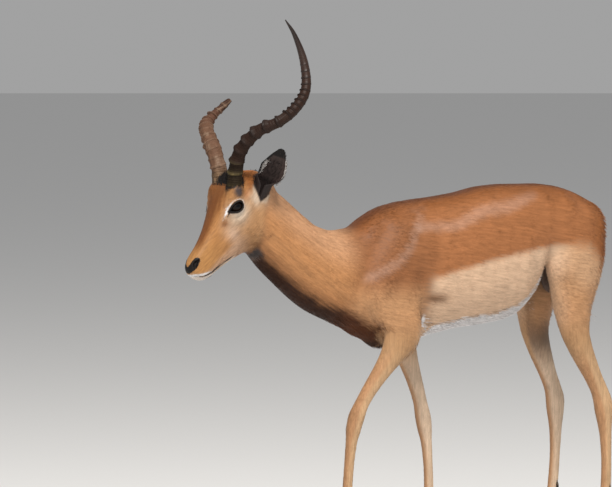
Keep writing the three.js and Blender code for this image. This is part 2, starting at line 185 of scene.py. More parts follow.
neckTable = [  # place, crest as x and z, throat as x and z, half width, shift to the left
    [0, -694, 930, -738, 795, 38, -14], [1, -662, 944, -694, 757, 43, -11],
    [2, -622, 916, -655, 718, 47, -8], [3, -577, 883, -612, 682, 50, -5],
    [4, -532, 849, -565, 645, 56, -2], [5, -490, 822, -517, 614, 61, 0],
    [6, -445, 810, -466, 591, 68, 0], [7, -400, 814, -418, 573, 76, 0],
    [8, -350, 837, -372, 556, 82, 0], [9, -300, 856, -325, 548, 84, 0],
    [10, -250, 862, -280, 548, 76, 0],
]

headTable = [  # place along the muzzle line, top, underside, half width, height share of the middle, fullness
    [-84, -68, -104, 18, 0.5, 0.95], [-76, -50, -122, 33, 0.55, 0.95], [-58, -31, -140, 43, 0.6, 0.95],
    [-30, -11, -156, 48, 0.68, 0.9], [0, 0, -168, 49, 0.72, 0.84], [30, -5, -175, 51, 0.74, 0.84],
    [54, -14, -176, 51, 0.74, 0.86], [80, -26, -168, 45, 0.7, 0.87], [104, -36, -158, 39, 0.66, 0.88],
    [135, -47, -149, 33, 0.6, 0.88], [170, -56, -140, 28.5, 0.55, 0.86], [200, -61, -133, 26.5, 0.5, 0.82],
    [220, -67, -127, 24, 0.5, 0.82], [230, -74, -116, 18.5, 0.52, 0.85], [236, -82, -102, 9, 0.55, 0.9],
]

forelegTable = [  # place in joints from the top, reach to the front and to the back, half width
    [0, 26, 26, 14], [0.12, 44, 42, 24], [0.4, 66, 60, 32], [0.8, 82, 74, 37], [1.0, 86, 76, 38],
    [1.4, 76, 68, 34], [1.75, 60, 60, 31], [2.0, 49, 58, 28], [2.15, 40, 45, 26], [2.3, 31, 32, 24],
    [2.45, 25, 25, 21.5], [2.65, 20.5, 20.5, 19], [2.85, 18.5, 18.5, 18], [3.0, 21, 20, 20.5],
    [3.12, 20, 18.5, 19.5], [3.25, 15, 15, 15.5], [3.5, 13, 13, 13], [3.85, 13.5, 14, 13.5],
    [4.0, 16, 21, 18], [4.3, 15, 16, 16.5], [4.7, 17, 18, 19], [5.0, 18, 20, 20],
]

hindlegTable = [
    [0, 26, 30, 14], [0.12, 60, 50, 27], [0.35, 85, 80, 38], [0.65, 90, 84, 44], [1.0, 77, 76, 44],
    [1.4, 57, 61, 41], [1.75, 46, 51, 37], [2.0, 40, 44, 33], [2.2, 34, 36, 28], [2.45, 27, 30, 23],
    [2.65, 21, 27, 19.5], [2.8, 19, 30, 17.5], [2.92, 21, 33, 18.5], [3.0, 22, 30, 20],
    [3.1, 20, 24, 19], [3.25, 16, 17, 16], [3.5, 14, 14.5, 13.5], [3.85, 14.5, 15, 14],
    [4.0, 17, 21, 18], [4.3, 16, 17, 17], [4.7, 17, 18, 19], [5.0, 18, 20, 20],
]

tailTable = [
    [0, 10, 12, 14], [0.8, 11, 12, 15], [2, 10, 11, 17], [3.4, 11, 12, 21], [4.4, 10, 10, 17], [5, 3, 3, 4],
]

limbs = {
    "foreleg_left": [(-252, -46, 812), (-306, -70, 664), (-292, -78, 556), (-414, -70, 360), (-449, -65, 112),
                     (-477, -65, 42)],
    "foreleg_right": [(-236, 46, 812), (-262, 70, 664), (-195, 76, 556), (-124, 66, 342), (-112, 62, 103),
                      (-131, 62, 42)],
    "hindleg_left": [(274, -48, 846), (233, -68, 690), (228, -79, 560), (312, -86, 352), (317, -86, 103),
                     (298, -86, 42)],
    "hindleg_right": [(274, 48, 846), (232, 68, 690), (222, 79, 562), (290, 86, 352), (278, 86, 103),
                      (259, 86, 42)],
    "tail": [(306, 0, 858), (336, 0, 832), (341, 0, 772), (332, 0, 706), (321, 0, 640), (313, 0, 568)],
}
limbTables = {name: forelegTable if "fore" in name else hindlegTable for name in limbs}
limbTables["tail"] = tailTable

# how square each section is, and the share of the height from below, or above, at which it is widest
fullness = dict(trunk=0.93, neck=0.95, limb=0.96)
widest = dict(trunk=0.47, neck=0.54)


def trunkRings(inset, rows=150, count=96):
    # upright sections, each widest a little below the middle between back and belly
    x = np.linspace(trunkTable[0][0], trunkTable[-1][0], rows)
    back, belly, half = (between(trunkTable, k, x) - s * inset for k, s in ((1, 1), (2, -1), (3, 1)))
    level = belly + widest["trunk"] * (back - belly)
    centre = np.stack([x, np.zeros(rows), level], 1)
    up, down = ((edge - level)[:, None] * upward for edge in (back, belly))
    return sections(centre, half[:, None] * rightward, up, down, fullness["trunk"], count)


def neckRings(inset, rows=110, count=80):
    # leaning sections from a point on the crest to one on the throat
    at = np.linspace(0, 10, rows)
    crestX, crestZ, throatX, throatZ, half, aside = (between(neckTable, k, at) for k in range(1, 7))
    crest = np.stack([crestX, aside, crestZ], 1)
    throat = np.stack([throatX, aside, throatZ], 1)
    centre = crest + (throat - crest) * widest["neck"]
    up, down = crest - centre, throat - centre
    up -= unit(up) * inset
    down -= unit(down) * inset
    return sections(centre, (half - inset)[:, None] * rightward, up, down, fullness["neck"], count)


def headRings(inset, rows=130, count=96):
    # sections square to the muzzle line
    at = np.linspace(headTable[0][0], headTable[-1][0], rows)
    top, under, half, share, square = (between(headTable, k, at) for k in range(1, 6))
    top, under, half = top - inset, under + inset, half - inset
    level = under + share * (top - under)
    centre = inHead(at, 0, 0) + level[:, None] * bridgeward
    return sections(centre, half[:, None] * leftward, (top - level)[:, None] * bridgeward,
                    (under - level)[:, None] * bridgeward, square, count)


def limbFrames(name, at):
    # centre, tangent and forward direction of a limb at places along its joints
    joints = limbs[name]
    centre = pathThrough(joints, at)
    after, before = np.minimum(at + 0.01, len(joints) - 1), np.maximum(at - 0.01, 0)
    tangent = unit(pathThrough(joints, after) - pathThrough(joints, before))
    front = unit(np.cross([0, 1.0, 0], tangent))
    return centre, tangent, front * np.where(front[:, :1] > 0, -1, 1)


def limbRings(name, inset, rows=170, count=56):
    # sections square to the limb's own curve
    at = np.linspace(0, len(limbs[name]) - 1, rows)
    centre, _, front = limbFrames(name, at)
    ahead, behind, half = (between(limbTables[name], k, at) - inset for k in (1, 2, 3))
    return sections(centre, half[:, None] * rightward, ahead[:, None] * front, -behind[:, None] * front,
                    fullness["limb"], count)


def ball(centre, radii, rows=24, count=32):
    # an ellipsoid, its rings run from pole to pole
    polar = np.linspace(0.06, np.pi - 0.06, rows)[:, None, None]
    angle = circle(count)[None, :, None]
    axes = np.diag(radii)
    ring = np.cos(polar) * axes[2] + np.sin(polar) * (np.cos(angle) * axes[0] + np.sin(angle) * axes[1])
    return np.asarray(centre, float) + ring


# The skin: every part of the flesh in one distance field, melted together and made one surface
skin = dict(
    voxel=6.0, reach=6, low=(-960, -150, 0), high=(380, 150, 970), lidReach=38,
    bodyDepth=2.5, legDepth=1.5, faceDepth=1.2, tailDepth=6,
    neckBlend=24, headBlend=16, shoulderBlend=22, edgeBlend=9, orbitBlend=9, tailBlend=14,
    orbit=(22.5, 22.5, 22.5), pedicle=(21, 22, 24), pedicleSeat=(33, 1, -34), pedicleBlend=10,
    earRoot=(15, 15, 15), earOut=8, earBlend=14, purse=(27, 21.6, 40), purseSeat=(218, 0, 678), purseBlend=10,
    elbowFold=(590, 700), flankFold=(690, 780),
)
fieldLow = np.array(skin["low"]) // skin["voxel"] * skin["voxel"]
fieldShape = tuple(np.ceil((np.array(skin["high"]) - fieldLow) / skin["voxel"]).astype(int))


def fieldOf(rings):
    # signed distances in millimetres, on the cells of the shared box, from a closed loft
    points, quads, triangles = loft(rings)
    transform = openvdb.createLinearTransform(voxelSize=skin["voxel"])
    grid = openvdb.FloatGrid.createLevelSetFromPolygons(
        points.astype(np.float32), triangles=triangles.astype(np.uint32), quads=quads.astype(np.uint32),
        transform=transform, halfWidth=skin["reach"])
    cells = np.empty(fieldShape, np.float32)
    grid.copyToArray(cells, ijk=tuple(int(v) for v in fieldLow / skin["voxel"]))
    return cells


def melt(a, b, radius):
    # the lesser of two distances, rounded where they are within radius of each other
    return np.minimum(a, b) - np.maximum(radius - np.abs(a - b), 0) ** 2 / (4 * radius)


def fleshField():
    # the least of all the parts' distances, rounded where two parts meet
    height = fieldLow[2] + np.arange(fieldShape[2]) * skin["voxel"]
    depth = skin["bodyDepth"]
    body = melt(fieldOf(trunkRings(depth)), fieldOf(neckRings(depth)), skin["neckBlend"])
    head = fieldOf(headRings(skin["faceDepth"]))
    along, out, above = pose["eyeSeat"]
    for name, side in sides:
        orbit = fieldOf(ball(inHead(along, side * (out - 1), above), skin["orbit"]))
        head = melt(head, orbit, skin["orbitBlend"])
        aside, ahead, rise = skin["pedicleSeat"]
        pedicle = fieldOf(ball(aboveSkull([(side * aside + 3, ahead, rise)])[0], skin["pedicle"]))
        head = melt(head, pedicle, skin["pedicleBlend"])
        earRoot = earPoint(name, np.array([0.0]), np.array([0.0]))[0] + earFrame(name)[3] * skin["earOut"]
        head = melt(head, fieldOf(ball(earRoot, skin["earRoot"])), skin["earBlend"])
    body = melt(body, head, skin["headBlend"])
    for name in limbs:
        if name == "tail":
            body = melt(body, fieldOf(limbRings(name, skin["tailDepth"])), skin["tailBlend"])
            continue
        # wide above the elbow and the flank, narrow below, so that the fold of the flank stays open
        low, high = skin["elbowFold"] if "fore" in name else skin["flankFold"]
        widening = skin["shoulderBlend"] - skin["edgeBlend"]
        radius = skin["edgeBlend"] + widening * smoothStep(low, high, height)
        body = melt(body, fieldOf(limbRings(name, skin["legDepth"])), radius)
    return melt(body, fieldOf(ball(skin["purseSeat"], skin["purse"])), skin["purseBlend"])


def sampleField(field, points):
    # the field between its cells, by eight weighted corners
    at = (points - fieldLow) / skin["voxel"]
    base = np.clip(np.floor(at).astype(int), 0, np.array(fieldShape) - 2)
    t = at - base
    total = np.zeros(len(points))
    for corner in np.ndindex(2, 2, 2):
        weight = np.prod(np.where(corner, t, 1 - t), axis=1)
        total += weight * field[tuple((base + corner).T)]
    return total


def fieldSlope(field, points, step=3.0):
    # the way out of the flesh: differences of the field across each point, along the three axes
    steps = np.eye(3) * step
    return unit(np.stack([sampleField(field, points + d) - sampleField(field, points - d) for d in steps], 1))


def skinSurface(field):
    # quads where the field is nothing
    grid = openvdb.FloatGrid(background=skin["voxel"] * skin["reach"])
    grid.transform = openvdb.createLinearTransform(voxelSize=skin["voxel"])
    grid.copyFromArray(field.astype(np.float32), ijk=tuple(int(v) for v in fieldLow / skin["voxel"]))
    points, quads = grid.convertToQuads(isovalue=0.0)
    return points.astype(float), quads.astype(int)


def inScene(name, data):
    # a new object of the scene that holds the data
    piece = bpy.data.objects.new(name, data)
    bpy.context.scene.collection.objects.link(piece)
    return piece


def meshFrom(name, points, faces):
    # a smooth piece from points in millimetres and lists of their numbers
    mesh = bpy.data.meshes.new(name)
    mesh.from_pydata(place(points).tolist(), [], faces.tolist() if hasattr(faces, "tolist") else faces)
    mesh.validate()
    mesh.shade_smooth()
    return inScene(name, mesh)


def readVectors(rows, name):
    # one vector for each row, as an array
    values = np.empty(len(rows) * 3)
    rows.foreach_get(name, values)
    return values.reshape(-1, 3)


def pointsOf(mesh):
    return drawn(readVectors(mesh.vertices, "co"))


def normalsOf(mesh):
    return readVectors(mesh.vertex_normals, "vector")


def setPoints(mesh, points):
    mesh.vertices.foreach_set("co", place(points).ravel())
    mesh.update()


def refine(mesh, chosen):
    # halves the edges whose two ends are both chosen
    work = bmesh.new()
    work.from_mesh(mesh)
    work.verts.ensure_lookup_table()
    edges = [e for e in work.edges if chosen[e.verts[0].index] and chosen[e.verts[1].index]]
    bmesh.ops.subdivide_edges(work, edges=edges, cuts=1, use_grid_fill=True)
    many = [f for f in work.faces if len(f.verts) > 4]
    bmesh.ops.triangulate(work, faces=many)
    work.to_mesh(mesh)
    work.free()


relaxSteps = (0.5, -0.52)


def relax(mesh, points, rounds):
    # evens out a surface without shrinking it: each point moves towards its neighbours and part way back
    edges = np.empty(len(mesh.edges) * 2, int)
    mesh.edges.foreach_get("vertices", edges)
    a, b = edges.reshape(-1, 2).T
    count = np.bincount(np.concatenate([a, b]), minlength=len(points))[:, None]
    for step in relaxSteps * rounds:
        total = np.zeros_like(points)
        for axis in range(3):
            value = points[:, axis]
            total[:, axis] = np.bincount(a, value[b], len(points)) + np.bincount(b, value[a], len(points))
        points = points + (total / count - points) * step
    return points


# Forms that stand out or sink in, in millimetres along the skin's own normals
bodyForms = [  # path seen from the side as x and z, half width, height
    ([(-232, 858), (-275, 792), (-318, 716), (-354, 655)], 24, 3.5),    # ridge of the shoulder blade
    ([(-232, 760), (-262, 700), (-290, 640)], 30, 2.5),                 # upper arm
    ([(-180, 800), (-200, 715), (-222, 640), (-238, 592)], 18, -2),     # edge of the arm on the ribs
    ([(-385, 640), (-388, 612)], 22, 4),                                # point of the shoulder
    ([(-322, 812), (-370, 738), (-408, 672)], 17, -3),                  # front edge of the shoulder
    ([(-650, 792), (-568, 716), (-484, 664), (-415, 622)], 11, -3),     # jugular groove
    ([(-640, 838), (-550, 765), (-470, 715), (-400, 690)], 22, 2),      # long muscle of the neck
    ([(98, 842), (76, 765), (22, 694), (-60, 642)], 26, 0.7),           # rim of the ribs
    ([(148, 848), (156, 800)], 36, -2.4),                               # hollow of the flank
    ([(212, 872), (220, 862)], 19, 5),                                  # hip bone
    ([(206, 850), (178, 785), (160, 722)], 26, 1.1),                    # front edge of the thigh
    ([(292, 806), (276, 722), (262, 640), (262, 592)], 15, -1.6),       # cleft between the thigh muscles
    ([(174, 640), (184, 604)], 24, 3),                                  # knee cap
    ([(326, 812), (330, 800)], 20, 4),                                  # pin bone
]
ribs = dict(first=-150, last=62, step=34, halfWidth=9, height=0.25)
for x in range(ribs["first"], ribs["last"], ribs["step"]):
    bodyForms.append(([(x + 26, 812), (x, 712), (x + 10, 630)], ribs["halfWidth"], ribs["height"]))

headForms = [  # middle along, out and above, reach each way, height
    ((75, 44, -112), (34, 30, 34), 2.6),      # cheek
    ((26, 38, -150), (24, 20, 20), 2.5),      # corner of the jaw
    ((6, 44, -40), (18, 20, 13), -3),         # temple
    ((44, 42, -25), (24, 14, 10), 3.2),       # brow
    ((86, 38, -66), (14, 14, 13), -2.2),      # before the eye
    ((136, 28, -76), (26, 14, 12), -1.8),     # side of the muzzle
    ((204, 22, -106), (18, 14, 12), 2.2),     # upper lip
    ((212, 20, -72), (15, 10, 10), 1.2),      # wing of the nostril
    ((201, 10, -131), (12, 14, 8), 2),        # chin
    ((176, 26, -133), (34, 12, 7), -2.6),     # under the corner of the mouth
]
headLines = [  # path along and above, half width, height
    ([(86, -70), (52, -79), (12, -74)], 8, 2.2),                                    # bone under the eye
    ([(86, -92), (132, -94)], 8, 1.6),                                              # crest of the cheek
    ([(234, -99), (222, -111), (206, -119), (190, -124), (170, -126), (152, -121)], 1.9, -2.6),     # mouth
    ([(70, -33), (56, -27), (36, -27), (20, -36)], 2.6, -1.3),                      # fold over the upper lid
    ([(68, -67), (48, -72), (28, -66)], 2.6, -1.0),                                 # fold under the lower lid
]
nostril = dict(middle=(215, 20, -74), reach=(13, 4.6), deep=9, tilt=-20, depth=8)

limbForms = {  # place along the limb and reach, offset to the front, half width, height, on both sides
    "fore": [(3.0, 0.12, 0, 12, 1.6), (3.55, 0.35, -3, 3.5, -1.6), (4.0, 0.1, 0, 9, 1.8),
             (2.5, 0.25, -4, 5, -1.4)],
    "hind": [(2.68, 0.2, -12, 6, -4.5), (3.0, 0.12, -2, 10, 1.8), (3.55, 0.35, -3, 3.5, -1.7),
             (4.0, 0.1, 0, 9, 1.8)],
}


def strokeDistance(across, up, stroke):
    # how far inside a stroke whose half width changes along it, in millimetres
    best = np.full(len(across), -1e9)
    for (x0, z0, r0), (x1, z1, r1) in zip(stroke[:-1], stroke[1:]):
        dx, dz = x1 - x0, z1 - z0
        t = np.clip(((across - x0) * dx + (up - z0) * dz) / (dx * dx + dz * dz), 0, 1)
        away = np.hypot(across - x0 - t * dx, up - z0 - t * dz)
        best = np.maximum(best, r0 + t * (r1 - r0) - away)
    return best


def pathDistance(across, up, path):
    # least distance in a plane from each point to a line of straight stretches
    return -strokeDistance(across, up, [(x, z, 0) for x, z in path])


legLag = 97


def farShift(points):
    # the right shoulder swings back with its leg: how far its forms lie behind the left one's
    lag = legLag * smoothStep(860, 556, points[:, 2]) * smoothStep(-60, -200, points[:, 0])
    return np.where(points[:, 1] > 0, lag, 0)


def bodyRelief(points, normals):
    # the sum of rise x exp(-(distance from a path / half width)^2), where the skin faces sideways
    x, z = points[:, 0] - farShift(points), points[:, 2]
    height = sum(rise * np.exp(-(pathDistance(x, z, path) / half) ** 2) for path, half, rise in bodyForms)
    return height * np.abs(normals[:, 1]) * smoothStep(560, 600, z)


def spot(values, middle, reach):
    # 1 at a middle, falling off smoothly over the reach each way
    return np.exp(-sum(((v - m) / r) ** 2 for v, m, r in zip(values, middle, reach)))


def headRelief(points, normals):
    # spots and lines as on the body, the same on both sides, less the well of the nostril
    a, l, d = headPlace(points)
    l = np.abs(l)
    height = sum(rise * spot((a, l, d), middle, reach) for middle, reach, rise in headForms)
    for path, halfWidth, rise in headLines:
        height += rise * np.exp(-(pathDistance(a, d, path) / halfWidth) ** 2) * smoothStep(4, 12, l)
    height -= nostril["depth"] * smoothStep(1.25, 0.55, nostrilDistance(points))
    return height * smoothStep(-80, -40, a) * smoothStep(-190, -172, d)


def nostrilDistance(points):
    # 1 on the rim of a leaning comma whose tail curls down and back
    a, l, d = headPlace(points)
    ca, cl, cd = nostril["middle"]
    lean = math.radians(nostril["tilt"])
    u = (a - ca) * math.cos(lean) + (d - cd) * math.sin(lean)
    v = -(a - ca) * math.sin(lean) + (d - cd) * math.cos(lean) + 0.035 * u**2
    ru, rv = nostril["reach"]
    rv = rv * (1 + 0.35 * np.clip(u / ru, -1, 1))
    return np.sqrt((u / ru) ** 2 + (v / rv) ** 2 + ((np.abs(l) - cl) / nostril["deep"]) ** 2)


def onSide(name, y):
    # whether points are on the same side of the body as a leg
    return np.sign(y) == (-1 if "left" in name else 1)


def limbPlace(name, points, samples=400):
    # nearest place along a limb, with the offsets to the front and to the side there
    at = np.linspace(0, len(limbs[name]) - 1, samples)
    centre, _, front = limbFrames(name, at)
    batches = np.array_split(points, len(points) // 20000 + 1)
    nearest = np.concatenate([((part[:, None] - centre) ** 2).sum(-1).argmin(1) for part in batches])
    away = points - centre[nearest]
    return at[nearest], (away * front[nearest]).sum(1), away[:, 1], np.linalg.norm(away, axis=1)


def limbRelief(points, normals):
    # spots given along and across each leg, on its outer and inner face
    height = np.zeros(len(points))
    for name in limbs:
        if name == "tail":
            continue
        near = np.flatnonzero((points[:, 2] < 620) & onSide(name, points[:, 1]))
        at, ahead, _, away = limbPlace(name, points[near])
        own = smoothStep(75, 55, away) * np.abs(normals[near, 1])
        for middle, reach, offset, halfWidth, rise in limbForms[name[:4]]:
            height[near] += rise * own * spot((at, ahead), (middle, offset), (reach, halfWidth))
    return height


# The openings of the eyes, and the ears
eyeShape = dict(axis=(0.95, 0.28, 0.06), back=15, front=25, up=12, down=10.5, tip=0.75, lean=13, floor=9,
                ballCut=18.2, top=40)


def eyeFrame(side):
    # middle of the eyeball, then the directions out of it, along the slit to the front and up
    along, out, above = pose["eyeSeat"]
    aside, ahead, rise = eyeShape["axis"]
    outward = unit(leftward * side * aside + facing * ahead + upward * rise)
    lean = math.radians(eyeShape["lean"])
    forward = muzzleward * math.cos(lean) + bridgeward * math.sin(lean)
    forward = unit(forward - outward * (forward @ outward))
    return inHead(along, side * out, above), outward, forward, np.cross(outward, forward) * side


def fromEye(side, u, v, level):
    # a point given from the eyeball's middle: u to the front along the slit, v up it and level out of it
    middle, outward, forward, up = eyeFrame(side)
    return middle + u[..., None] * forward + v[..., None] * up + level[..., None] * outward


def eyeDistance(points):
    # distance to the middle of the nearer eyeball
    return np.minimum(*(np.linalg.norm(points - eyeFrame(side)[0], axis=1) for side in (1, -1)))


def almond(angle):
    # outline of the slit round the eye's middle: a short round back and a long front that ends in a point
    c, s = np.cos(angle), np.sin(angle)
    u = np.where(c > 0, eyeShape["front"] * c, eyeShape["back"] * c)
    pinch = np.where(c > 0, 1 - np.abs(c) ** 2.2 * eyeShape["tip"], 1)
    v = np.where(s > 0, eyeShape["up"], eyeShape["down"]) * s * pinch
    return u, v


def almondDistance(points, side):
    # how far each point lies outside the outline of the slit, in millimetres, seen along the eye's own axis
    middle, outward, forward, up = eyeFrame(side)
    away = points - middle
    u, v, w = away @ forward, away @ up, away @ outward
    eu, ev = almond(np.linspace(0, 2 * np.pi, 240))
    least = np.sqrt(((u[:, None] - eu) ** 2 + (v[:, None] - ev) ** 2).min(1))
    turns, reach = np.arctan2(ev, eu)[:-1] % (2 * np.pi), np.hypot(eu, ev)[:-1]
    rim = np.interp(np.arctan2(v, u) % (2 * np.pi), turns, reach, period=2 * np.pi)
    return np.where(np.hypot(u, v) < rim, -least, least), w


def eyeCutter(side):
    # a plug with the outline of the slit: its floor follows the eyeball and then stays level to the corners
    u, v = almond(circle(72))
    rings = []
    for share in (0.02, 0.25, 0.5, 0.7, 0.85, 0.95, 1.0):
        square = eyeShape["ballCut"] ** 2 - (u * share) ** 2 - (v * share) ** 2
        level = np.sqrt(np.maximum(square, eyeShape["floor"] ** 2))
        rings.append(fromEye(side, u * share, v * share, level))
    for share, level in ((1.06, 21), (1.2, 26), (1.2, eyeShape["top"]), (0.02, eyeShape["top"])):
        rings.append(fromEye(side, u * share, v * share, np.full(len(u), level)))
    return np.array(rings)


earTable = [  # share of the length, middle to the back, half width, depth of the cup, half the roll
    [0, -16, 15, 15, 3.0], [0.14, -17, 19, 18, 3.0], [0.28, -18, 22, 18, 2.95], [0.34, -16, 24, 17, 2.5],
    [0.4, -11.5, 26.5, 16, 1.95], [0.46, -9, 29, 14.5, 1.6], [0.53, -7.5, 30.5, 13, 1.4],
    [0.61, -8.5, 30, 11, 1.27], [0.7, -7, 26, 9, 1.2], [0.82, -6, 19, 6, 1.1], [0.92, -4.5, 12, 3.5, 1.0],
    [0.97, -4, 7.5, 2, 1.0], [1, -3.5, 3, 1.5, 1.0],
]
ears = {
    "left": dict(base=(-27, 43, -97), tip=(-118, 98, -19), opening=(0.6, 0.8, 0), back=1),
    "right": dict(base=(-27, -43, -97), tip=(-128, -90, -132), opening=(0.1, -1, -0.15), back=-1),
}
earSize = dict(length=133, wall=3.0, rimWall=1.3, root=-0.1, tip=0.995, margin=(10, 5), depthShare=0.8)


def earFrame(side):
    # an ear's root, then the directions along it, across it and out of its cup
    ear = ears[side]
    base, tip = inHead(*ear["base"]), inHead(*ear["tip"])
    ahead, aside, rise = ear["opening"]
    axis = unit(tip - base)
    across = unit(np.cross(axis, facing * ahead + leftward * aside + upward * rise))
    return base, axis, across, unit(np.cross(across, axis))


def earPoint(side, at, turn):
    # a leaf rolled into a tube at its root and opening into a cup: turn runs from rim to rim
    base, axis, across, outward = earFrame(side)
    middle, halfWidth, cup, roll = (between(earTable, k, at) for k in (1, 2, 3, 4))
    spread = np.sin(turn * roll) / np.sin(np.minimum(roll, np.pi / 2))
    sideways = ears[side]["back"] * middle + halfWidth * spread
    fall = -cup * np.cos(turn * roll)
    return (base + (earSize["length"] * at)[..., None] * axis + sideways[..., None] * across
            + fall[..., None] * outward)


def earNormal(side, at, turn, step=0.004):
    # the product of the slopes along and across the leaf
    lengthwise = earPoint(side, at + step, turn) - earPoint(side, at - step, turn)
    crosswise = earPoint(side, at, turn + step) - earPoint(side, at, turn - step)
    return unit(np.cross(lengthwise, crosswise))


def earSurface(side, rows=60, columns=36):
    # the leaf's two walls, half a thickness to each side of it
    lengths, turns = np.linspace(earSize["root"], earSize["tip"], rows), np.linspace(-1, 1, columns)
    at, turn = np.meshgrid(lengths, turns, indexing="ij")
    normal = earNormal(side, at, turn)
    rim = np.maximum(np.abs(turn) ** 3, smoothStep(0.8, 1.0, at))
    half = (earSize["wall"] + (earSize["rimWall"] - earSize["wall"]) * rim) / 2
    middle = earPoint(side, at, turn)
    walls = [middle + (half * sign)[..., None] * normal for sign in (1, -1)]
    return thinShell(*walls)


def thinShell(outer, inner):
    # two grids of points made one closed wall by a strip all round their rims
    rows, columns = outer.shape[:2]
    size = rows * columns
    top = gridFaces(rows, columns, False)
    lastRow = (rows - 1) * columns
    rim = np.concatenate([np.arange(columns), np.arange(1, rows) * columns + columns - 1,
                          lastRow + np.arange(columns - 2, -1, -1), np.arange(rows - 2, 0, -1) * columns])
    after = np.roll(rim, -1)
    strip = np.stack([after, rim, rim + size, after + size], 1)
    points = np.vstack([outer.reshape(-1, 3), inner.reshape(-1, 3)])
    return points, np.vstack([top, top[:, ::-1] + size, strip])


def closedPiece(name, points, faces):
    # a mesh whose faces are made to point outwards
    piece = meshFrom(name, points, faces)
    work = bmesh.new()
    work.from_mesh(piece.data)
    bmesh.ops.recalc_face_normals(work, faces=work.faces)
    work.to_mesh(piece.data)
    work.free()
    return piece


def loftPiece(name, rings):
    points, quads, triangles = loft(rings)
    return closedPiece(name, points, quads.tolist() + triangles.tolist())


def joinSolids(piece, other, way):
    # an exact join or cut, after which the other body is thrown away
    change = piece.modifiers.new("join", "BOOLEAN")
    change.operation, change.object, change.solver = way, other, "MANIFOLD"
    applyModifiers(piece)
    bpy.data.objects.remove(other)


def applyModifiers(piece):
    # gives the piece the mesh that its modifiers make
    evaluated = piece.evaluated_get(bpy.context.evaluated_depsgraph_get())
    mesh = bpy.data.meshes.new_from_object(evaluated)
    old = piece.data
    piece.modifiers.clear()
    piece.data = mesh
    bpy.data.meshes.remove(old)


def settle(mesh, field, rounds):
    # draws the points back on to the field's surface and evens them out
    points = pointsOf(mesh)
    for _ in range(2):
        points = points - sampleField(field, points)[:, None] * fieldSlope(field, points)
    points = relax(mesh, points, rounds)
    setPoints(mesh, points)


lid = dict(radius=1.5, inwards=2.2, turns=96, sides=12, rise=0.4, smoothings=6, low=6, high=34, steps=113,
           ball=20)


def lidLevel(side, field, u, v):
    # how far out along the eye's axis the skin or the eyeball's own sphere is outermost
    level = np.linspace(lid["low"], lid["high"], lid["steps"])
    line = fromEye(side, u[:, None], v[:, None], level[None, :])
    inside = sampleField(field, line.reshape(-1, 3)).reshape(len(u), -1) < 0
    skinLevel = level[len(level) - 1 - inside[:, ::-1].argmax(1)]
    return np.maximum(skinLevel, np.sqrt(np.maximum(lid["ball"] ** 2 - u * u - v * v, lid["low"] ** 2)))


def lidRim(side, field):
    # a thin tube round the slit
    outward = eyeFrame(side)[1]
    u, v = almond(circle(lid["turns"]))
    level = lidLevel(side, field, u, v) + lid["rise"]
    for _ in range(lid["smoothings"]):
        level = (np.roll(level, 1) + 2 * level + np.roll(level, -1)) / 4
    centre = fromEye(side, u, v, level)
    tangent = unit(np.roll(centre, -1, 0) - np.roll(centre, 1, 0))
    across = unit(np.cross(tangent, outward))
    angle = circle(lid["sides"])[None, :, None]
    deep = np.cos(angle) * np.where(np.cos(angle) < 0, lid["inwards"], 1)
    rings = centre[:, None] + lid["radius"] * (deep * outward + np.sin(angle) * across[:, None])
    faces = gridFaces(lid["turns"] + 1, lid["sides"], True) % (lid["turns"] * lid["sides"])
    return rings.reshape(-1, 3), faces


def headArea(points):
    # the whole head, as far back as its joint with the neck
    a, _, d = headPlace(points)
    return (a > -50) & (a < 250) & (d > -200) & (d < 30) & (points[:, 0] < -600)


def fineArea(points):
    # round the eyes, the nose and the mouth
    a, l, d = headPlace(points)
    eyes = (eyeDistance(points) < skin["lidReach"]) & (np.abs(l) > 25)
    return eyes | ((a > 190) & (d > -100)) | ((a > 145) & (d < -105))


print("skin: building the field")
field = fleshField()
points, quads = skinSurface(field)
hide = meshFrom("hide", points, quads)
print("skin:", len(points), "points from the field")
settle(hide.data, field, 3)
for area, rounds in ((headArea, 2), (fineArea, 1)):
    refine(hide.data, area(pointsOf(hide.data)))
    settle(hide.data, field, rounds)
for relief in (bodyRelief, limbRelief, headRelief):
    points = pointsOf(hide.data)
    normals = normalsOf(hide.data)
    setPoints(hide.data, points + relief(points, normals)[:, None] * normals)
for side, sign in sides:
    joinSolids(hide, loftPiece("eyeCutter", eyeCutter(sign)), "DIFFERENCE")
    joinSolids(hide, closedPiece("lidRim", *lidRim(sign, field)), "UNION")
    joinSolids(hide, closedPiece("earShell", *earSurface(side)), "UNION")
triangles = sum(len(p.vertices) - 2 for p in hide.data.polygons)
print("skin:", len(hide.data.vertices), "points and", triangles, "triangles")
hide.data.shade_smooth()
hide.data.materials.clear()
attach(hide, "root")
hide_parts("trunk", "neck", "head", "tail", "ear_left", "ear_right",
            "foreleg_left", "foreleg_right", "hindleg_left", "hindleg_right")


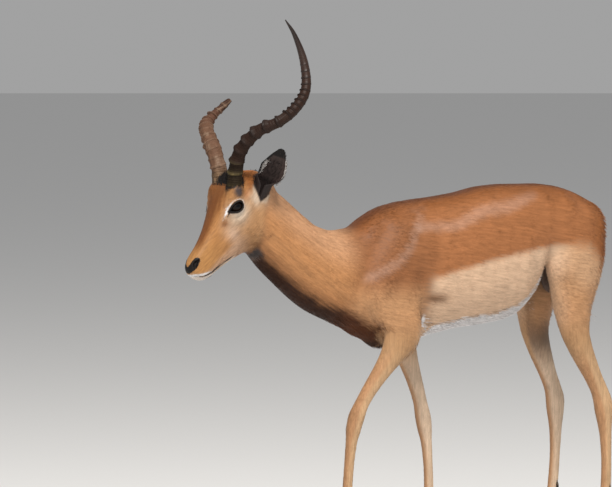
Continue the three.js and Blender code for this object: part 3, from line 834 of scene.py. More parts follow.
# The two horns: the curve of each, and its radius and ring height along it
horns = {
    "left": dict(
        points=[(34, 0, -14), (37, -1, 18), (56, -1, 66), (104, -17, 114), (139, -48, 135), (145, -92, 164),
                (138, -133, 209), (124, -141, 273), (109, -122, 343), (99, -103, 377)],
        table=[[-0.04, 17, 0], [0, 17.6, 0.04], [0.05, 17.4, 0.12], [0.12, 16.2, 0.30], [0.3, 13.8, 0.44],
               [0.42, 12.9, 0.40], [0.52, 12.6, 0.24], [0.66, 11.6, 0.17], [0.76, 10.2, 0.06], [0.87, 7, 0],
               [0.95, 4, 0], [1, 1.2, 0]],
        ridges=17, crowding=0.75, uneven=0.3, allRound=0.16, rough=0.5, patches=0, smoothFrom=0.72,
        # the left horn's near-black colours are its own dark keratin, deepened as painted shade on the lower
        # part
        lower=(0.025, 0.012, 0.008), upper=(0.032, 0.015, 0.010), crest=(0.012, 0.008, 0.007),
        root=(0.024, 0.015, 0.008), rootRing=(0.10, 0.075, 0.032)),
    "right": dict(
        points=[(-27, -6, -14), (-31, -6, 18), (-50, -6, 62), (-101, -25, 109), (-138, -60, 133),
                (-144, -96, 158), (-138, -127, 183)],
        table=[[-0.06, 17, 0], [0, 18, 0], [0.1, 18.4, 0.07], [0.3, 18.3, 0.16], [0.5, 17.0, 0.22],
               [0.68, 13.2, 0.26], [0.8, 10.2, 0.26], [0.9, 8.6, 0.14], [0.96, 7.6, 0.05], [1, 5.5, 0]],
        ridges=14, crowding=0, uneven=0.7, allRound=0.45, rough=1.9, patches=0.9, smoothFrom=1.5,
        # the right horn's lighter colours are painted sunlight over the same keratin, and its pale crest colour
        # is also wear on the ridges
        lower=(0.13, 0.068, 0.042), upper=(0.10, 0.047, 0.03), crest=(0.21, 0.135, 0.09),
        root=(0.13, 0.08, 0.046), rootRing=(0.26, 0.16, 0.09)),
}

# Markings: soft tones and signed distances to the crisp edges, the same for the skin and every tuft; some tones
# are painted shade and a painted sheen
tones = dict(
    russet=(0.305, 0.122, 0.048), rump=(0.215, 0.075, 0.022), shoulder=(0.24, 0.097, 0.04),
    # the dark russet (0.10, 0.034, 0.014) below runs along the top of the back, and is also painted shade low
    # on the neck and on the brisket
    # the pale pink tone (0.45, 0.29, 0.22) below is a painted sheen
    ridge=(0.10, 0.034, 0.014), paintedSheen=(0.45, 0.29, 0.22), arm=(0.44, 0.235, 0.115), fawn=(0.56, 0.38, 0.255),
    # the dark grey-brown (0.075, 0.055, 0.046) below is painted shade in the groin and high inside the thighs
    thigh=(0.45, 0.255, 0.134), paintedGroinShade=(0.075, 0.055, 0.046), buttock=(0.56, 0.41, 0.28),
    # the near-black brown (0.030, 0.010, 0.004) below is painted shade under the neck, the chest and the jaw
    neckTop=(0.46, 0.25, 0.135), neckSide=(0.42, 0.20, 0.083), throat=(0.030, 0.010, 0.004),
    # the dark brown (0.165, 0.084, 0.044) below is painted shade behind the elbow and on the thigh
    paintedShade=(0.165, 0.084, 0.044), face=(0.36, 0.17, 0.062), forehead=(0.19, 0.076, 0.026),
    bridge=(0.17, 0.062, 0.020), muzzle=(0.375, 0.185, 0.066), cheek=(0.40, 0.215, 0.10),
    crown=(0.37, 0.135, 0.04), cream=(0.56, 0.43, 0.32), pink=(0.50, 0.335, 0.24),
    legTop=(0.37, 0.212, 0.104), legMiddle=(0.50, 0.32, 0.18), legLow=(0.46, 0.30, 0.17),
    # the two near-black ear tones below are the ear's dark skin, deepened as painted shade in the cup and the
    # rolled root
    earInside=(0.05, 0.034, 0.031), earBack=(0.19, 0.10, 0.052), earTube=(0.024, 0.017, 0.016),
    throatPatch=(0.05, 0.04, 0.038), purse=(0.10, 0.065, 0.05), browGrey=(0.06, 0.045, 0.045),
    hairWhite=(0.55, 0.52, 0.50), eyePatch=(0.485, 0.40, 0.315), lash=(0.02, 0.015, 0.013),
)
# each row: tone, its share, ramps as low and high ends along a place, then a spot as middle and reach
backTones = [
    ("shoulder", 1, dict(x=(-160, -260))),
    ("rump", 1, dict(x=(250, 330), z=(890, 800))),
    ("rump", 0.45, dict(x=(90, 190), z=(835, 880))),
    ("arm", 1, dict(x=(-160, -260), z=(700, 625))),
]
spineTones = [
    ("rump", 0.9, dict(across=(82, 40), facingUp=(0.25, 0.6))),
    ("ridge", 0.85, dict(across=(46, 12), facingUp=(0.5, 0.9))),
]
neckTones = [
    ("neckTop", 1, dict(neckShare=(0.45, 0.85))),
    # the dark russet low on the neck is painted shade leading into the band under it
    ("ridge", 0.5, dict(neckShare=(0.34, 0.12))),
]
# the underside of the chest between the forelegs, where painted shade goes
underChest = dict(x=(-150, -250), facingUp=(-0.4, -0.9), z=(610, 560), across=(66, 46))
# where the thighs face inwards, high up: painted shade of the groin
innerThigh = dict(facingIn=(0.25, 0.7), x=(112, 140, 300, 270), z=(750, 725, 430, 560))
# the dark brown rows are painted shade behind the elbow, along the back edge of the arm and on the thigh's
# muscles
flankTones = [
    ("paintedShade", 0.95, {}, dict(along=(-204, 40), z=(640, 13))),
    ("paintedShade", 0.8, dict(along=(-190, -236), z=(560, 600))),
    ("thigh", 0.75, dict(x=(150, 215), z=(560, 640))),
    ("thigh", 1, {}, dict(x=(192, 26), z=(668, 34))),
    ("paintedShade", 0.35, {}, dict(x=(188, 18), z=(676, 20))),
    ("paintedGroinShade", 1, innerThigh),
    ("buttock", 0.8, dict(x=(250, 285)), dict(facingBack=(0.72, 0.3), across=(72, 13))),
    # the arm's tone over the lower front of the thigh is painted shade
    ("arm", 0.95, dict(x=(150, 205), z=(690, 625))),
]
legTones = [
    ("legMiddle", 1, dict(at=(2.0, 2.7))),
    ("legLow", 1, dict(at=(3.3, 4.2))),
    ("russet", 0.55, dict(ahead=(2, 12), at=(2.1, 2.6, 4.6, 3.6))),
    ("cream", 0.85, dict(within=(2, 14), at=(2.0, 2.6))),
]
faceTones = [
    ("bridge", 0.35, dict(a=(190, 214), d=(-84, -70))),
    ("cheek", 1, dict(a=(130, 70), d=(-50, -75))),
    ("muzzle", 1, dict(a=(120, 190))),
    # the dark forehead and bridge are centred 8 mm to the right of the middle: the blaze's own colour, with
    # painted shade on the right side of the face
    ("forehead", 1, dict(offMiddle=(42, 22), a=(-12, 4, 72, 40))),
    ("bridge", 1, dict(offMiddle=(32, 12), a=(30, 60, 212, 150))),
    ("bridge", 0.7, {}, dict(a=(72, 26), side=(19, 6), d=(-27, 14))),
    ("crown", 1, dict(a=(6, -20), d=(-58, -36))),
    ("crown", 0.8, {}, dict(a=(6, 14), side=(50, 14), d=(-46, 10))),
    ("pink", 0.8, dict(side=(20, 32)), dict(a=(98, 18), d=(-92, 24))),
    ("eyePatch", 0.97, dict(side=(24, 34)), dict(a=(54, 34), d=(-62, 25))),
    ("cream", 0.9, dict(side=(30, 40)), dict(a=(-4, 13), d=(-74, 20))),
    ("cream", 0.9, dict(side=(24, 36)), dict(a=(-40, 20), d=(-108, 18))),
    ("pink", 0.6, dict(d=(-104, -122), a=(60, 110))),
    ("cream", 0.85, dict(overChin=(1, -3), a=(110, 130))),
    ("cream", 0.6, dict(overChin=(14, 4), a=(175, 205))),
    ("hairWhite", 0.65, dict(overChin=(1, -3), a=(185, 205))),
    ("bridge", 0.8, dict(side=(28, 34)), dict(a=(97, 9), d=(-57, 8))),
]
foreheadStreaks = dict(side=(40, 28), a=(96, 60, -4, 10))
browTones = [
    ("browGrey", 1.5, {}, dict(a=(26, 10), side=(56, 11), d=(-20, 12))),
    # the near-black under the back of the jaw is painted shade
    ("throat", 0.5, dict(d=(-158, -170), a=(120, 80))),
]

# lines as places and, where there is a third number, half widths
colourLine = [(-262, 520), (-240, 575), (-230, 640), (-214, 686), (-138, 709), (-18, 736), (102, 757),
              (201, 764), (262, 758), (296, 718), (312, 640), (318, 560)]
mouthLine = [(233, -99, 0.6), (222, -111, 1.3), (206, -119, 1.8), (190, -125, 1.8), (165, -130, 1.6),
             (138, -136, 1.4), (116, -141, 0.6)]
chinLine = [(116, -141), (138, -136), (165, -130), (190, -125), (206, -119), (222, -111), (234, -99)]
lipLine = [(237, -95, 3.4), (226, -103, 3.6), (212, -111, 2.6), (198, -118, 1.0)]
underLipLine = [(216, -127, 1.5), (206, -131, 3.0), (196, -134, 1.0)]
paintedSheenLines = [  # line, share of the painted sheen
    ([(-408, 828, 4), (-341, 855, 7), (-268, 866, 8), (-210, 865, 5)], 0.45),
    ([(-234, 811, 4), (-133, 816, 7), (-60, 846, 8), (27, 861, 8), (114, 888, 5)], 0.34),
    ([(-226, 842, 3), (-270, 771, 5), (-314, 731, 5), (-390, 690, 3)], 0.35),
]
bellyRim = [(138, 712, 2), (124, 686, 6), (109, 656, 9), (88, 630, 10), (55, 608, 10), (0, 596, 8)]
whiteStroke = [(48, -29, 0.1), (57, -30.5, 0.9), (67, -35, 1.5), (78, -42, 1.7), (89, -47, 1.1),
               (98, -51, 0.1)]
tearLine = [(66, -42, 1.8), (74, -46, 1.8), (82, -50, 0.9)]
noseBand = [((207, 19, -72), 8), ((215, 18, -73), 9.5), ((222, 15, -76), 9.5), ((229, 8, -79), 8.5),
            ((232, 0, -82), 8)]
throatLine = [(row[3], row[4]) for row in neckTable[:10]]
crestLine = [(row[1], row[2]) for row in neckTable[:10]]
nowhere = -60.0  # the distance written where a marking is nowhere near
# places and sizes of single marks; armpit and patch are x, z and radius
bellyMark = dict(front=-212, back=190, floor=470, rise=31, thighs=112, gap=45, rimBack=130,
                 armpit=(-225, 582, 9))
rumpMark = dict(half=42, top=836, stripe=55, stripeHalf=7.5, stripeLow=600, stripeHigh=822)
tailMark = dict(front=285, half=40, radius=26, paleFrom=1.25, darkHalf=5.0, darkTo=4.0)
legMark = dict(top=720, colourFrom=(1.75, 2.3), margin=(20, 7), gland=3.84, glandBack=12, glandRadius=13,
               glandReach=40, hem=4.9, hemFrom=4.6, hemRadius=45)
# bandTop and perShare set the top edge of the near-black band under the neck, a painted shade
neckMark = dict(front=-345, bandTop=0.09, perShare=170, patch=(-686, 748, 24))
eyeMark = dict(near=48, upperArc=4.8, underArc=5.2, dark=3.0)
hornMark = dict(middle=3, long=11, wide=18, round=8, low=-22, radius=21.5, lowest=-44, front=44)
earMark = dict(rim=5.5, tube=0.42, tip=0.83)


def plain(name, count):
    # rows of one named tone
    return np.tile(np.array(tones[name]), (count, 1))


def toward(tone, name, weight):
    # part of the way to a named tone
    return tone + (np.array(tones[name]) - tone) * np.clip(weight, 0, 1)[:, None]


def shareAt(places, ramps, spots={}):
    # the product of the ramps, times exp(-the sum of the squares of (place - middle) / reach)
    share = np.exp(-sum(((places[key] - middle) / reach) ** 2 for key, (middle, reach) in spots.items()))
    for key, ends in ramps.items():
        for low, high in zip(ends[::2], ends[1::2]):
            share = share * smoothStep(low, high, places[key])
    return share


def laidOver(tone, rows, places):
    # each row's tone over the one before
    for name, share, *where in rows:
        tone = toward(tone, name, share * shareAt(places, *where))
    return tone


def hornAway(points):
    # distance from the axis of each horn where it leaves the skull
    for side in ("left", "right"):
        foot = aboveSkull(horns[side]["points"][:2])
        axis = unit(foot[1] - foot[0])
        away = points - foot[0]
        yield np.linalg.norm(away - (away @ axis)[:, None] * axis, axis=1)


def earPlace(side, points):
    # share of an ear's length, distance behind its front rim, its half width there, and 1 on the ear
    base, axis, across, outward = earFrame(side)
    away = points - base
    at = away @ axis / earSize["length"]
    middle, halfWidth = between(earTable, 1, at), between(earTable, 2, at)
    aside = ears[side]["back"] * (away @ across) - middle
    far, near = earSize["margin"]
    reach = np.hypot(aside, (away @ outward) * earSize["depthShare"])
    own = smoothStep(halfWidth + far, halfWidth + near, reach)
    return at, aside + halfWidth, halfWidth, own * smoothStep(-0.08, 0.0, at)


def markings(points, normals):
    # two soft colours, signed distances that are above 0 inside each crisp marking, and how the hair lies
    x, y, z = points.T
    a, l, d = headPlace(points)
    side, across, outside = np.abs(l), np.abs(y), normals[:, 1] * np.sign(y)
    headness = smoothStep(-14, 14, 0.625 * (a + 84) + 0.78 * (d + 60)) * smoothStep(600, 640, z)
    neckness = smoothStep(-370, -460, x) * (1 - headness)
    lag = farShift(points)
    along = x - lag
    count = len(points)
    low, high = pathDistance(x, z, throatLine), pathDistance(x, z, crestLine)
    neckShare = low / (low + high)
    places = dict(x=x, z=z, a=a, d=d, side=side, across=across, along=along, neckShare=neckShare,
                  facingUp=normals[:, 2], facingBack=normals[:, 0], facingIn=-outside,
                  offMiddle=np.abs(l + 8), overChin=d - np.interp(a, *np.array(chinLine).T))

    # body above the line and below it
    upper = laidOver(plain("russet", count), backTones, places)
    # painted sheen: pale pink bands along the back and down the shoulder
    for stroke, share in paintedSheenLines:
        uneven = 3 * np.sin(x / 9) * np.sin(z / 7 + x / 23)
        shine = smoothStep(-16, 5, strokeDistance(along, z, stroke) + uneven)
        upper = toward(upper, "paintedSheen", share * shine * smoothStep(12, 30, across))
    upper = laidOver(upper, spineTones, places)
    neck = laidOver(plain("neckSide", count), neckTones, places)
    upper += (neck - upper) * neckness[:, None]
    # painted shade under the chest, where the skin faces down
    upper = toward(upper, "throat", shareAt(places, underChest) * (1 - headness))
    lower = laidOver(plain("fawn", count), flankTones, places)
    inward = shareAt(places, innerThigh)
    above = (z > np.interp(along, *np.array(colourLine).T)) | (along < colourLine[0][0])
    saddle = pathDistance(along, z, colourLine) * np.where(above, 1, -1)
    saddle = np.where(along > colourLine[-1][0], -nowhere, saddle)
    saddle *= 1 - 0.55 * smoothStep(-185, -215, along) - 0.55 * smoothStep(185, 225, along)
    white = np.full(count, nowhere)
    black = np.full(count, nowhere)

    # belly and the insides of the thighs, then the rump with its stripes
    onBelly = (x > bellyMark["front"] + lag * 0.6) & (x < bellyMark["back"]) & (z > bellyMark["floor"])
    innerSide = np.minimum((-normals[:, 2] - 0.3) * 30, bellyMark["gap"] - across)
    under = np.where(x > bellyMark["thighs"], innerSide, 20)
    bellyWhite = np.minimum(between(trunkTable, 2, x) + bellyMark["rise"] - z, under)
    white = np.where(onBelly, np.maximum(white, bellyWhite), white)
    rim = strokeDistance(along, z, bellyRim)
    white = np.where((along < bellyMark["rimBack"]) & (outside > -0.2), np.maximum(white, rim), white)
    middleX, middleZ, radius = bellyMark["armpit"]
    white = np.maximum(white, radius - np.hypot(along - middleX, (z - middleZ) / 1.7))
    rear = smoothStep(0.25, 0.6, normals[:, 0]) * smoothStep(255, 300, x)
    pale = np.minimum(rumpMark["half"] - across, rumpMark["top"] - z)
    white = np.where(rear > 0.5, np.maximum(white, pale), white)
    stripe = rumpMark["stripeHalf"] - np.abs(across - rumpMark["stripe"])
    striped = (rear > 0.4) & (z > rumpMark["stripeLow"]) & (z < rumpMark["stripeHigh"])
    black = np.where(striped, np.maximum(black, stripe), black)

    # legs: tan outside, cream within, painted shade of the groin high on their insides, and the black tufts
    # over the hind fetlocks
    legness = np.zeros(count)
    for name in limbs:
        own = (z < legMark["top"]) & onSide(name, y)
        if name == "tail":
            own = (x > tailMark["front"]) & (across < tailMark["half"])
        own = np.flatnonzero(own)
        at, ahead, aside, away = limbPlace(name, points[own], 200)
        if name == "tail":
            onTail = (away < tailMark["radius"]) & (at > 0.1)
            pale = np.minimum((at - tailMark["paleFrom"]) * 34, 10) + np.minimum(across[own] - 7, 4)
            dark = tailMark["darkHalf"] - across[own] - 20 * (ahead > -2)
            white[own] = np.maximum(white[own], np.where(onTail, pale, nowhere))
            black[own] = np.maximum(black[own], np.where(onTail & (at < tailMark["darkTo"]), dark, nowhere))
            continue
        reach = np.maximum(between(limbTables[name], 1, at), between(limbTables[name], 2, at))
        far, near = legMark["margin"]
        weight = smoothStep(*legMark["colourFrom"], at) * smoothStep(reach + far, reach + near, away)
        tone = laidOver(plain("legTop", len(own)), legTones,
                        dict(at=at, ahead=ahead, within=-aside * np.sign(y[own])))
        # painted shade of the groin high on the inside of the leg
        tone = toward(tone, "paintedGroinShade", inward[own])
        upper[own] += (tone - upper[own]) * weight[:, None]
        lower[own] += (tone - lower[own]) * weight[:, None]
        legness[own] = np.maximum(legness[own], weight)
        if "hind" in name:
            offGland = np.hypot((at - legMark["gland"]) * 90, np.minimum(ahead + legMark["glandBack"], 0) * 0.5)
            gland = legMark["glandRadius"] - offGland - 30 * (ahead > -1)
            black[own] = np.maximum(black[own], np.where(away < legMark["glandReach"], gland, nowhere))
        hem = (legMark["hem"] - at) * -60
        onHem = (away < legMark["hemRadius"]) & (at > legMark["hemFrom"])
        black[own] = np.maximum(black[own], np.where(onHem, hem, nowhere))
        outer = (weight > 0.6) & (outside[own] > -0.1)
        white[own] = np.where(outer, np.minimum(white[own], -20), white[own])
    white = np.where((legness > 0.35) & (z > 60), nowhere, white)
    fromPurse = np.linalg.norm((points - skin["purseSeat"]) / (0.75, 0.6, 1.0), axis=1)
    purse = smoothStep(50, 38, fromPurse)
    lower = toward(lower, "purse", purse)
    white = np.where(purse > 0.5, -20, white)

    # head, then the painted shade under the neck and on the chest
    face = laidOver(plain("face", count), faceTones, places)
    streaks = 0.5 + 0.5 * np.sin(side / 2.1 + 1.5 * np.sin(a / 17) + 0.8 * np.sin(d / 5))
    face = toward(face, "bridge", 0.55 * streaks * shareAt(places, foreheadStreaks))
    face = laidOver(face, browTones, places)
    upper += (face - upper) * headness[:, None]
    lower += (face - lower) * headness[:, None]
    bandTop = neckMark["bandTop"] + 0.035 * smoothStep(-680, -600, x) + 0.03 * smoothStep(-500, -425, x)
    edge = (neckShare - bandTop + 0.06 * smoothStep(-440, -365, x)) * neckMark["perShare"]
    saddle = np.where(x < neckMark["front"], edge, saddle)
    saddle = np.where((headness > 0.02) | ((legness > 0.3) & (x < -320)), -nowhere, saddle)
    # below the line, the neck and the front of the chest take painted shade, darker still on the brisket
    lower = toward(lower, "throat", smoothStep(-335, -350, x) * (1 - legness))
    brisket = smoothStep(-480, -400, x) * smoothStep(-330, -350, x)
    lower = toward(lower, "ridge", 0.8 * brisket * (1 - legness))

    # white strokes and lids, and the black of the eyes, horn bases, nose and mouth
    onHead = headness > 0.3
    stroke = strokeDistance(a, d, whiteStroke) - 20 * (side < 26)
    lip = strokeDistance(a, d, lipLine)
    white = np.where(onHead, np.maximum(white, np.maximum(stroke, lip)), white)
    for sign in (1, -1):
        middle, outward, _, up = eyeFrame(sign)
        near = np.flatnonzero(np.linalg.norm(points - middle, axis=1) < eyeMark["near"])
        away, _ = almondDistance(points[near], sign)
        overMiddle = (points[near] - middle) @ up > 2
        upperArc, underArc = np.abs(away - eyeMark["upperArc"]), np.abs(away - eyeMark["underArc"])
        arc = np.where(overMiddle, -0.1 - upperArc, 0.2 - underArc)
        white[near] = np.maximum(white[near], arc - 20 * (normals[near] @ outward < -0.2))
        tear = strokeDistance(a[near], d[near], tearLine)
        black[near] = np.maximum(black[near], np.maximum(eyeMark["dark"] - away, tear))
    pastEnd = np.maximum(np.abs(a - hornMark["middle"]) - hornMark["long"], 0)
    pastSide = np.maximum(side - hornMark["wide"], 0)
    band = hornMark["round"] - np.hypot(pastEnd, pastSide) - 40 * (d < hornMark["low"])
    collar = hornMark["radius"] - np.minimum(*hornAway(points))
    band = np.maximum(band, collar - 40 * ((d < hornMark["lowest"]) | (a > hornMark["front"])))
    inMuzzle = np.stack([a, side, d], 1)
    nose = np.full(count, nowhere)
    for (p0, r0), (p1, r1) in zip(noseBand[:-1], noseBand[1:]):
        stretch = np.array(p1, float) - p0
        t = np.clip((inMuzzle - p0) @ stretch / (stretch @ stretch), 0, 1)
        away = np.linalg.norm(inMuzzle - p0 - t[:, None] * stretch, axis=1)
        nose = np.maximum(nose, r0 + t * (r1 - r0) - away)
    dark = np.max([band, nose, strokeDistance(a, d, mouthLine), strokeDistance(a, d, underLipLine)], axis=0)
    black = np.where(onHead, np.maximum(black, dark), black)
    middleX, middleZ, radius = neckMark["patch"]
    patch = radius - np.hypot((x - middleX) / 0.9, z - middleZ)
    patchOn = (headness < 0.8) & (neckShare < 0.5)
    upper = toward(upper, "throatPatch", smoothStep(-6, 8, patch) * patchOn)
    # a small whitish spot on the patch, in the tone of the painted sheen
    upper = toward(upper, "paintedSheen", 0.55 * spot((x, z), (-672, 743), (8, 6)) * patchOn)

    # ears
    for name in ears:
        at, behind, halfWidth, own = earPlace(name, points)
        inside = smoothStep(-0.1, 0.3, normals @ earFrame(name)[3])
        # the root of the ear near-black, its dark skin with painted shade inside the roll; the cup's inside
        # dark as painted shade over its dark skin
        tone = toward(plain("earBack", count), "earTube", smoothStep(0.62, 0.4, at))
        turn = behind / (2 * halfWidth + 1)
        wedge = smoothStep(0.02, -0.05, at + 0.03 - 0.36 * np.abs(turn - 0.72))
        tone = toward(tone, "cream", wedge * (at < 0.4))
        tone = toward(tone, "earInside", inside * smoothStep(0.3, 0.42, at))
        upper += (tone - upper) * own[:, None]
        saddle = np.where(own > 0.3, -nowhere, saddle)
        rim = np.maximum(earMark["rim"] - behind - 30 * (at < earMark["tube"]), (at - earMark["tip"]) * 120)
        white = np.where(own > 0.3, nowhere, white)
        black = np.where(own > 0.3, rim, black)
    fray = 5.5 - 3.8 * np.maximum(headness, 0) - 2.5 * legness * (1 - headness)
    lie = np.stack([neckness, headness, legness * (1 - headness)], 1)
    return dict(upper=upper, lower=lower, saddle=saddle, white=white, black=black, fray=fray, lie=lie)


colourLayer = ("FLOAT_COLOR", "color")
layerKinds = dict(lie=("FLOAT_VECTOR", "vector"), upper=colourLayer, lower=colourLayer, shaft=colourLayer,
                  wear=colourLayer)


def writeLayers(mesh, layers, repeat=1):
    # one value for each point, or for each run of points when a tuft shares the value of its root
    for name, values in layers.items():
        values = np.repeat(np.asarray(values, float), repeat, axis=0)
        kind, content = layerKinds.get(name, ("FLOAT", "value"))
        if kind == "FLOAT_COLOR":
            values = np.column_stack([values, np.ones(len(values))])
        mesh.attributes.new(name, kind, "POINT").data.foreach_set(content, values.ravel())


hidePoints = pointsOf(hide.data)
hideNormals = normalsOf(hide.data)
hideMarks = markings(hidePoints, hideNormals)
writeLayers(hide.data, hideMarks)
print("skin: markings written")


# Materials
def newNode(tree, kind, **values):
    # a shader node with its settings and its inputs given by name
    node = tree.nodes.new(kind)
    for name, value in values.items():
        if hasattr(node, name):
            setattr(node, name, value)
        else:
            node.inputs[name].default_value = value
    return node


def attribute(tree, name, output="Fac"):
    # what the mesh says at each point under a name
    return newNode(tree, "ShaderNodeAttribute", attribute_name=name).outputs[output]


def mathNode(tree, operation, *inputs):
    # one sum in a shader, of numbers or sockets
    node = newNode(tree, "ShaderNodeMath", operation=operation)
    for socket, value in zip(node.inputs, inputs):
        if isinstance(value, (int, float)):
            socket.default_value = value
        else:
            tree.links.new(value, socket)
    return node.outputs[0]


def mixed(tree, share, first, second):
    # first x (1 - share) + second x share, of colours or sockets
    node = newNode(tree, "ShaderNodeMix", data_type="RGBA", blend_type="MIX")
    for index, value in ((0, share), (6, first), (7, second)):
        if isinstance(value, (int, float, tuple)):
            node.inputs[index].default_value = value
        else:
            tree.links.new(value, node.inputs[index])
    return node.outputs[2]


def objectPlace(tree):
    return newNode(tree, "ShaderNodeTexCoord").outputs["Object"]


def noiseOf(tree, coordinates, **values):
    # a noise from 0 to 1
    node = newNode(tree, "ShaderNodeTexNoise", **values)
    tree.links.new(coordinates, node.inputs["Vector"])
    return node.outputs["Fac"]


def stretched(tree, coordinates, turnY, scale, detail):
    # noise drawn out into hairs: turned about Y, then squeezed across the lie
    for values in (dict(Rotation=(0, math.radians(turnY), 0)), dict(Scale=scale)):
        mapping = newNode(tree, "ShaderNodeMapping", vector_type="POINT", **values)
        tree.links.new(coordinates, mapping.inputs["Vector"])
        coordinates = mapping.outputs[0]
    return noiseOf(tree, coordinates, Scale=1.0, Detail=detail, Roughness=0.6)


def ranged(tree, value, low, high):
    # a value from 0 to 1 laid between two others
    node = newNode(tree, "ShaderNodeMapRange", **{"To Min": low, "To Max": high})
    tree.links.new(value, node.inputs["Value"])
    return node.outputs[0]


def scaled(tree, colour, factor):
    # colour x factor
    node = newNode(tree, "ShaderNodeVectorMath", operation="SCALE")
    tree.links.new(colour, node.inputs[0])
    tree.links.new(factor, node.inputs["Scale"])
    return node.outputs[0]


def bumped(tree, height, strength, distance):
    # a normal that leans with the slope of a height
    node = newNode(tree, "ShaderNodeBump", Strength=strength, Distance=distance)
    tree.links.new(height, node.inputs["Height"])
    return node.outputs[0]


def newMaterial(name, **values):
    # a material, its tree and its Principled node, whose inputs are set by name
    material = bpy.data.materials.new(name)
    material.use_nodes = True
    surface = material.node_tree.nodes["Principled BSDF"]
    for socket, value in values.items():
        surface.inputs[socket].default_value = value
    return material, material.node_tree, surface


def linkAll(tree, node, sockets):
    # joins each socket to the input of its name
    for name, socket in sockets.items():
        tree.links.new(socket, node.inputs[name])


def coatGroup():
    # colours from the marking attributes, their edges broken by the hairs, and the height of the hairs
    tree = bpy.data.node_groups.new("coatMarkings", "ShaderNodeTree")
    for name in ("Hair Contrast", "Tip Light"):
        tree.interface.new_socket(name, in_out="INPUT", socket_type="NodeSocketFloat")
    for name, kind in (("Color", "Color"), ("Height", "Float"), ("Roughness", "Float")):
        tree.interface.new_socket(name, in_out="OUTPUT", socket_type="NodeSocket" + kind)
    given = tree.nodes.new("NodeGroupInput")
    result = tree.nodes.new("NodeGroupOutput")
    coordinates = objectPlace(tree)
    lie = newNode(tree, "ShaderNodeSeparateXYZ")
    tree.links.new(attribute(tree, "lie", "Vector"), lie.inputs[0])
    hair = stretched(tree, coordinates, -8, (16, 190, 190), 5)
    others = (  # which share of the lie, the turn and the scale: neck, legs, head
        (0, -34, (15, 150, 150)),
        (2, 0, (230, 230, 24)),
        (1, 43, (34, 270, 270)),
    )
    for index, turnY, scale in others:
        node = newNode(tree, "ShaderNodeMix", data_type="FLOAT")
        tree.links.new(lie.outputs[index], node.inputs[0])
        tree.links.new(hair, node.inputs[2])
        tree.links.new(stretched(tree, coordinates, turnY, scale, 5), node.inputs[3])
        hair = node.outputs[0]
    clump = noiseOf(tree, coordinates, Scale=26.0, Detail=2.0, Roughness=0.5)
    clumps = mathNode(tree, "SUBTRACT", clump, 0.5)
    strands = mathNode(tree, "SUBTRACT", hair, 0.5)
    fray = attribute(tree, "fray")
    fine, coarse = mathNode(tree, "MULTIPLY", strands, 3.2), mathNode(tree, "MULTIPLY", clumps, 1.6)
    jitter = mathNode(tree, "MULTIPLY", mathNode(tree, "ADD", fine, coarse), fray)

    def edge(name, softness=0.7):
        # from 0 to 1 over the softness x the fray, with the hairs' jitter added to the distance
        node = newNode(tree, "ShaderNodeMapRange", interpolation_type="SMOOTHSTEP")
        tree.links.new(mathNode(tree, "ADD", attribute(tree, name), jitter), node.inputs["Value"])
        tree.links.new(mathNode(tree, "MULTIPLY", fray, -softness), node.inputs["From Min"])
        tree.links.new(mathNode(tree, "MULTIPLY", fray, softness), node.inputs["From Max"])
        return node.outputs[0]

    low, high = attribute(tree, "lower", "Color"), attribute(tree, "upper", "Color")
    colour = mixed(tree, edge("saddle", 2.0), low, high)
    colour = mixed(tree, edge("white"), colour, (0.62, 0.60, 0.60, 1))
    colour = mixed(tree, edge("black"), colour, (0.010, 0.008, 0.008, 1))
    # each hair a little lighter or darker, tips lighter, and the coat mottled
    shade = mathNode(tree, "MULTIPLY", strands, given.outputs["Hair Contrast"])
    for value, share in ((attribute(tree, "strand"), 0.17), (clumps, 0.3),
                         (attribute(tree, "tip"), given.outputs["Tip Light"])):
        shade = mathNode(tree, "ADD", shade, mathNode(tree, "MULTIPLY", value, share))
    colour = scaled(tree, colour, mathNode(tree, "ADD", shade, 1.0))
    linkAll(tree, result, dict(Color=colour, Height=hair, Roughness=ranged(tree, hair, 0.36, 0.62)))
    return tree


def coatMaterial(name, contrast, tipLight, bump, specular, sheen):
    # the shared markings, with the hairs' own height as a bump
    material, tree, surface = newMaterial(name, **{
        "Specular IOR Level": specular, "Sheen Weight": sheen, "Sheen Roughness": 0.4,
        "Sheen Tint": (1.0, 0.85, 0.75, 1)})
    group = newNode(tree, "ShaderNodeGroup", node_tree=coatNodes)
    group.inputs["Hair Contrast"].default_value = contrast
    group.inputs["Tip Light"].default_value = tipLight
    relief = bumped(tree, group.outputs["Height"], bump, 0.001)
    linkAll(tree, surface, {"Base Color": group.outputs["Color"], "Roughness": group.outputs["Roughness"],
                            "Normal": relief})
    return material


coatNodes = coatGroup()
skinCoat = coatMaterial("skinCoat", contrast=1.0, tipLight=0.0, bump=0.5, specular=0.16, sheen=0.01)
tuftCoat = coatMaterial("tuftCoat", contrast=0.9, tipLight=0.12, bump=0.0, specular=0.13, sheen=0.0)
hide.data.materials.append(skinCoat)

# Eyes
eyeLook = dict(radius=18.9, cornea=0.9, corneaReach=11, iris=13.5, pupilLong=7.5, pupilHigh=4.2)


def eyeBall(side, rows=48, columns=64):
    # a sphere about the eye's own axis, its front raised by a low bell for the cornea
    polar = np.linspace(0.02, np.pi - 0.02, rows)[:, None]
    angle = circle(columns)[None, :]
    spread = eyeLook["radius"] * np.sin(polar)
    bell = eyeLook["cornea"] * np.exp(-(spread / eyeLook["corneaReach"]) ** 2) * (polar < np.pi / 2)
    reach = eyeLook["radius"] + bell
    u, v = reach * np.sin(polar) * np.cos(angle), reach * np.sin(polar) * np.sin(angle)
    w = reach * np.cos(polar) + 0 * angle
    return fromEye(side, u, v, w), u, v, w


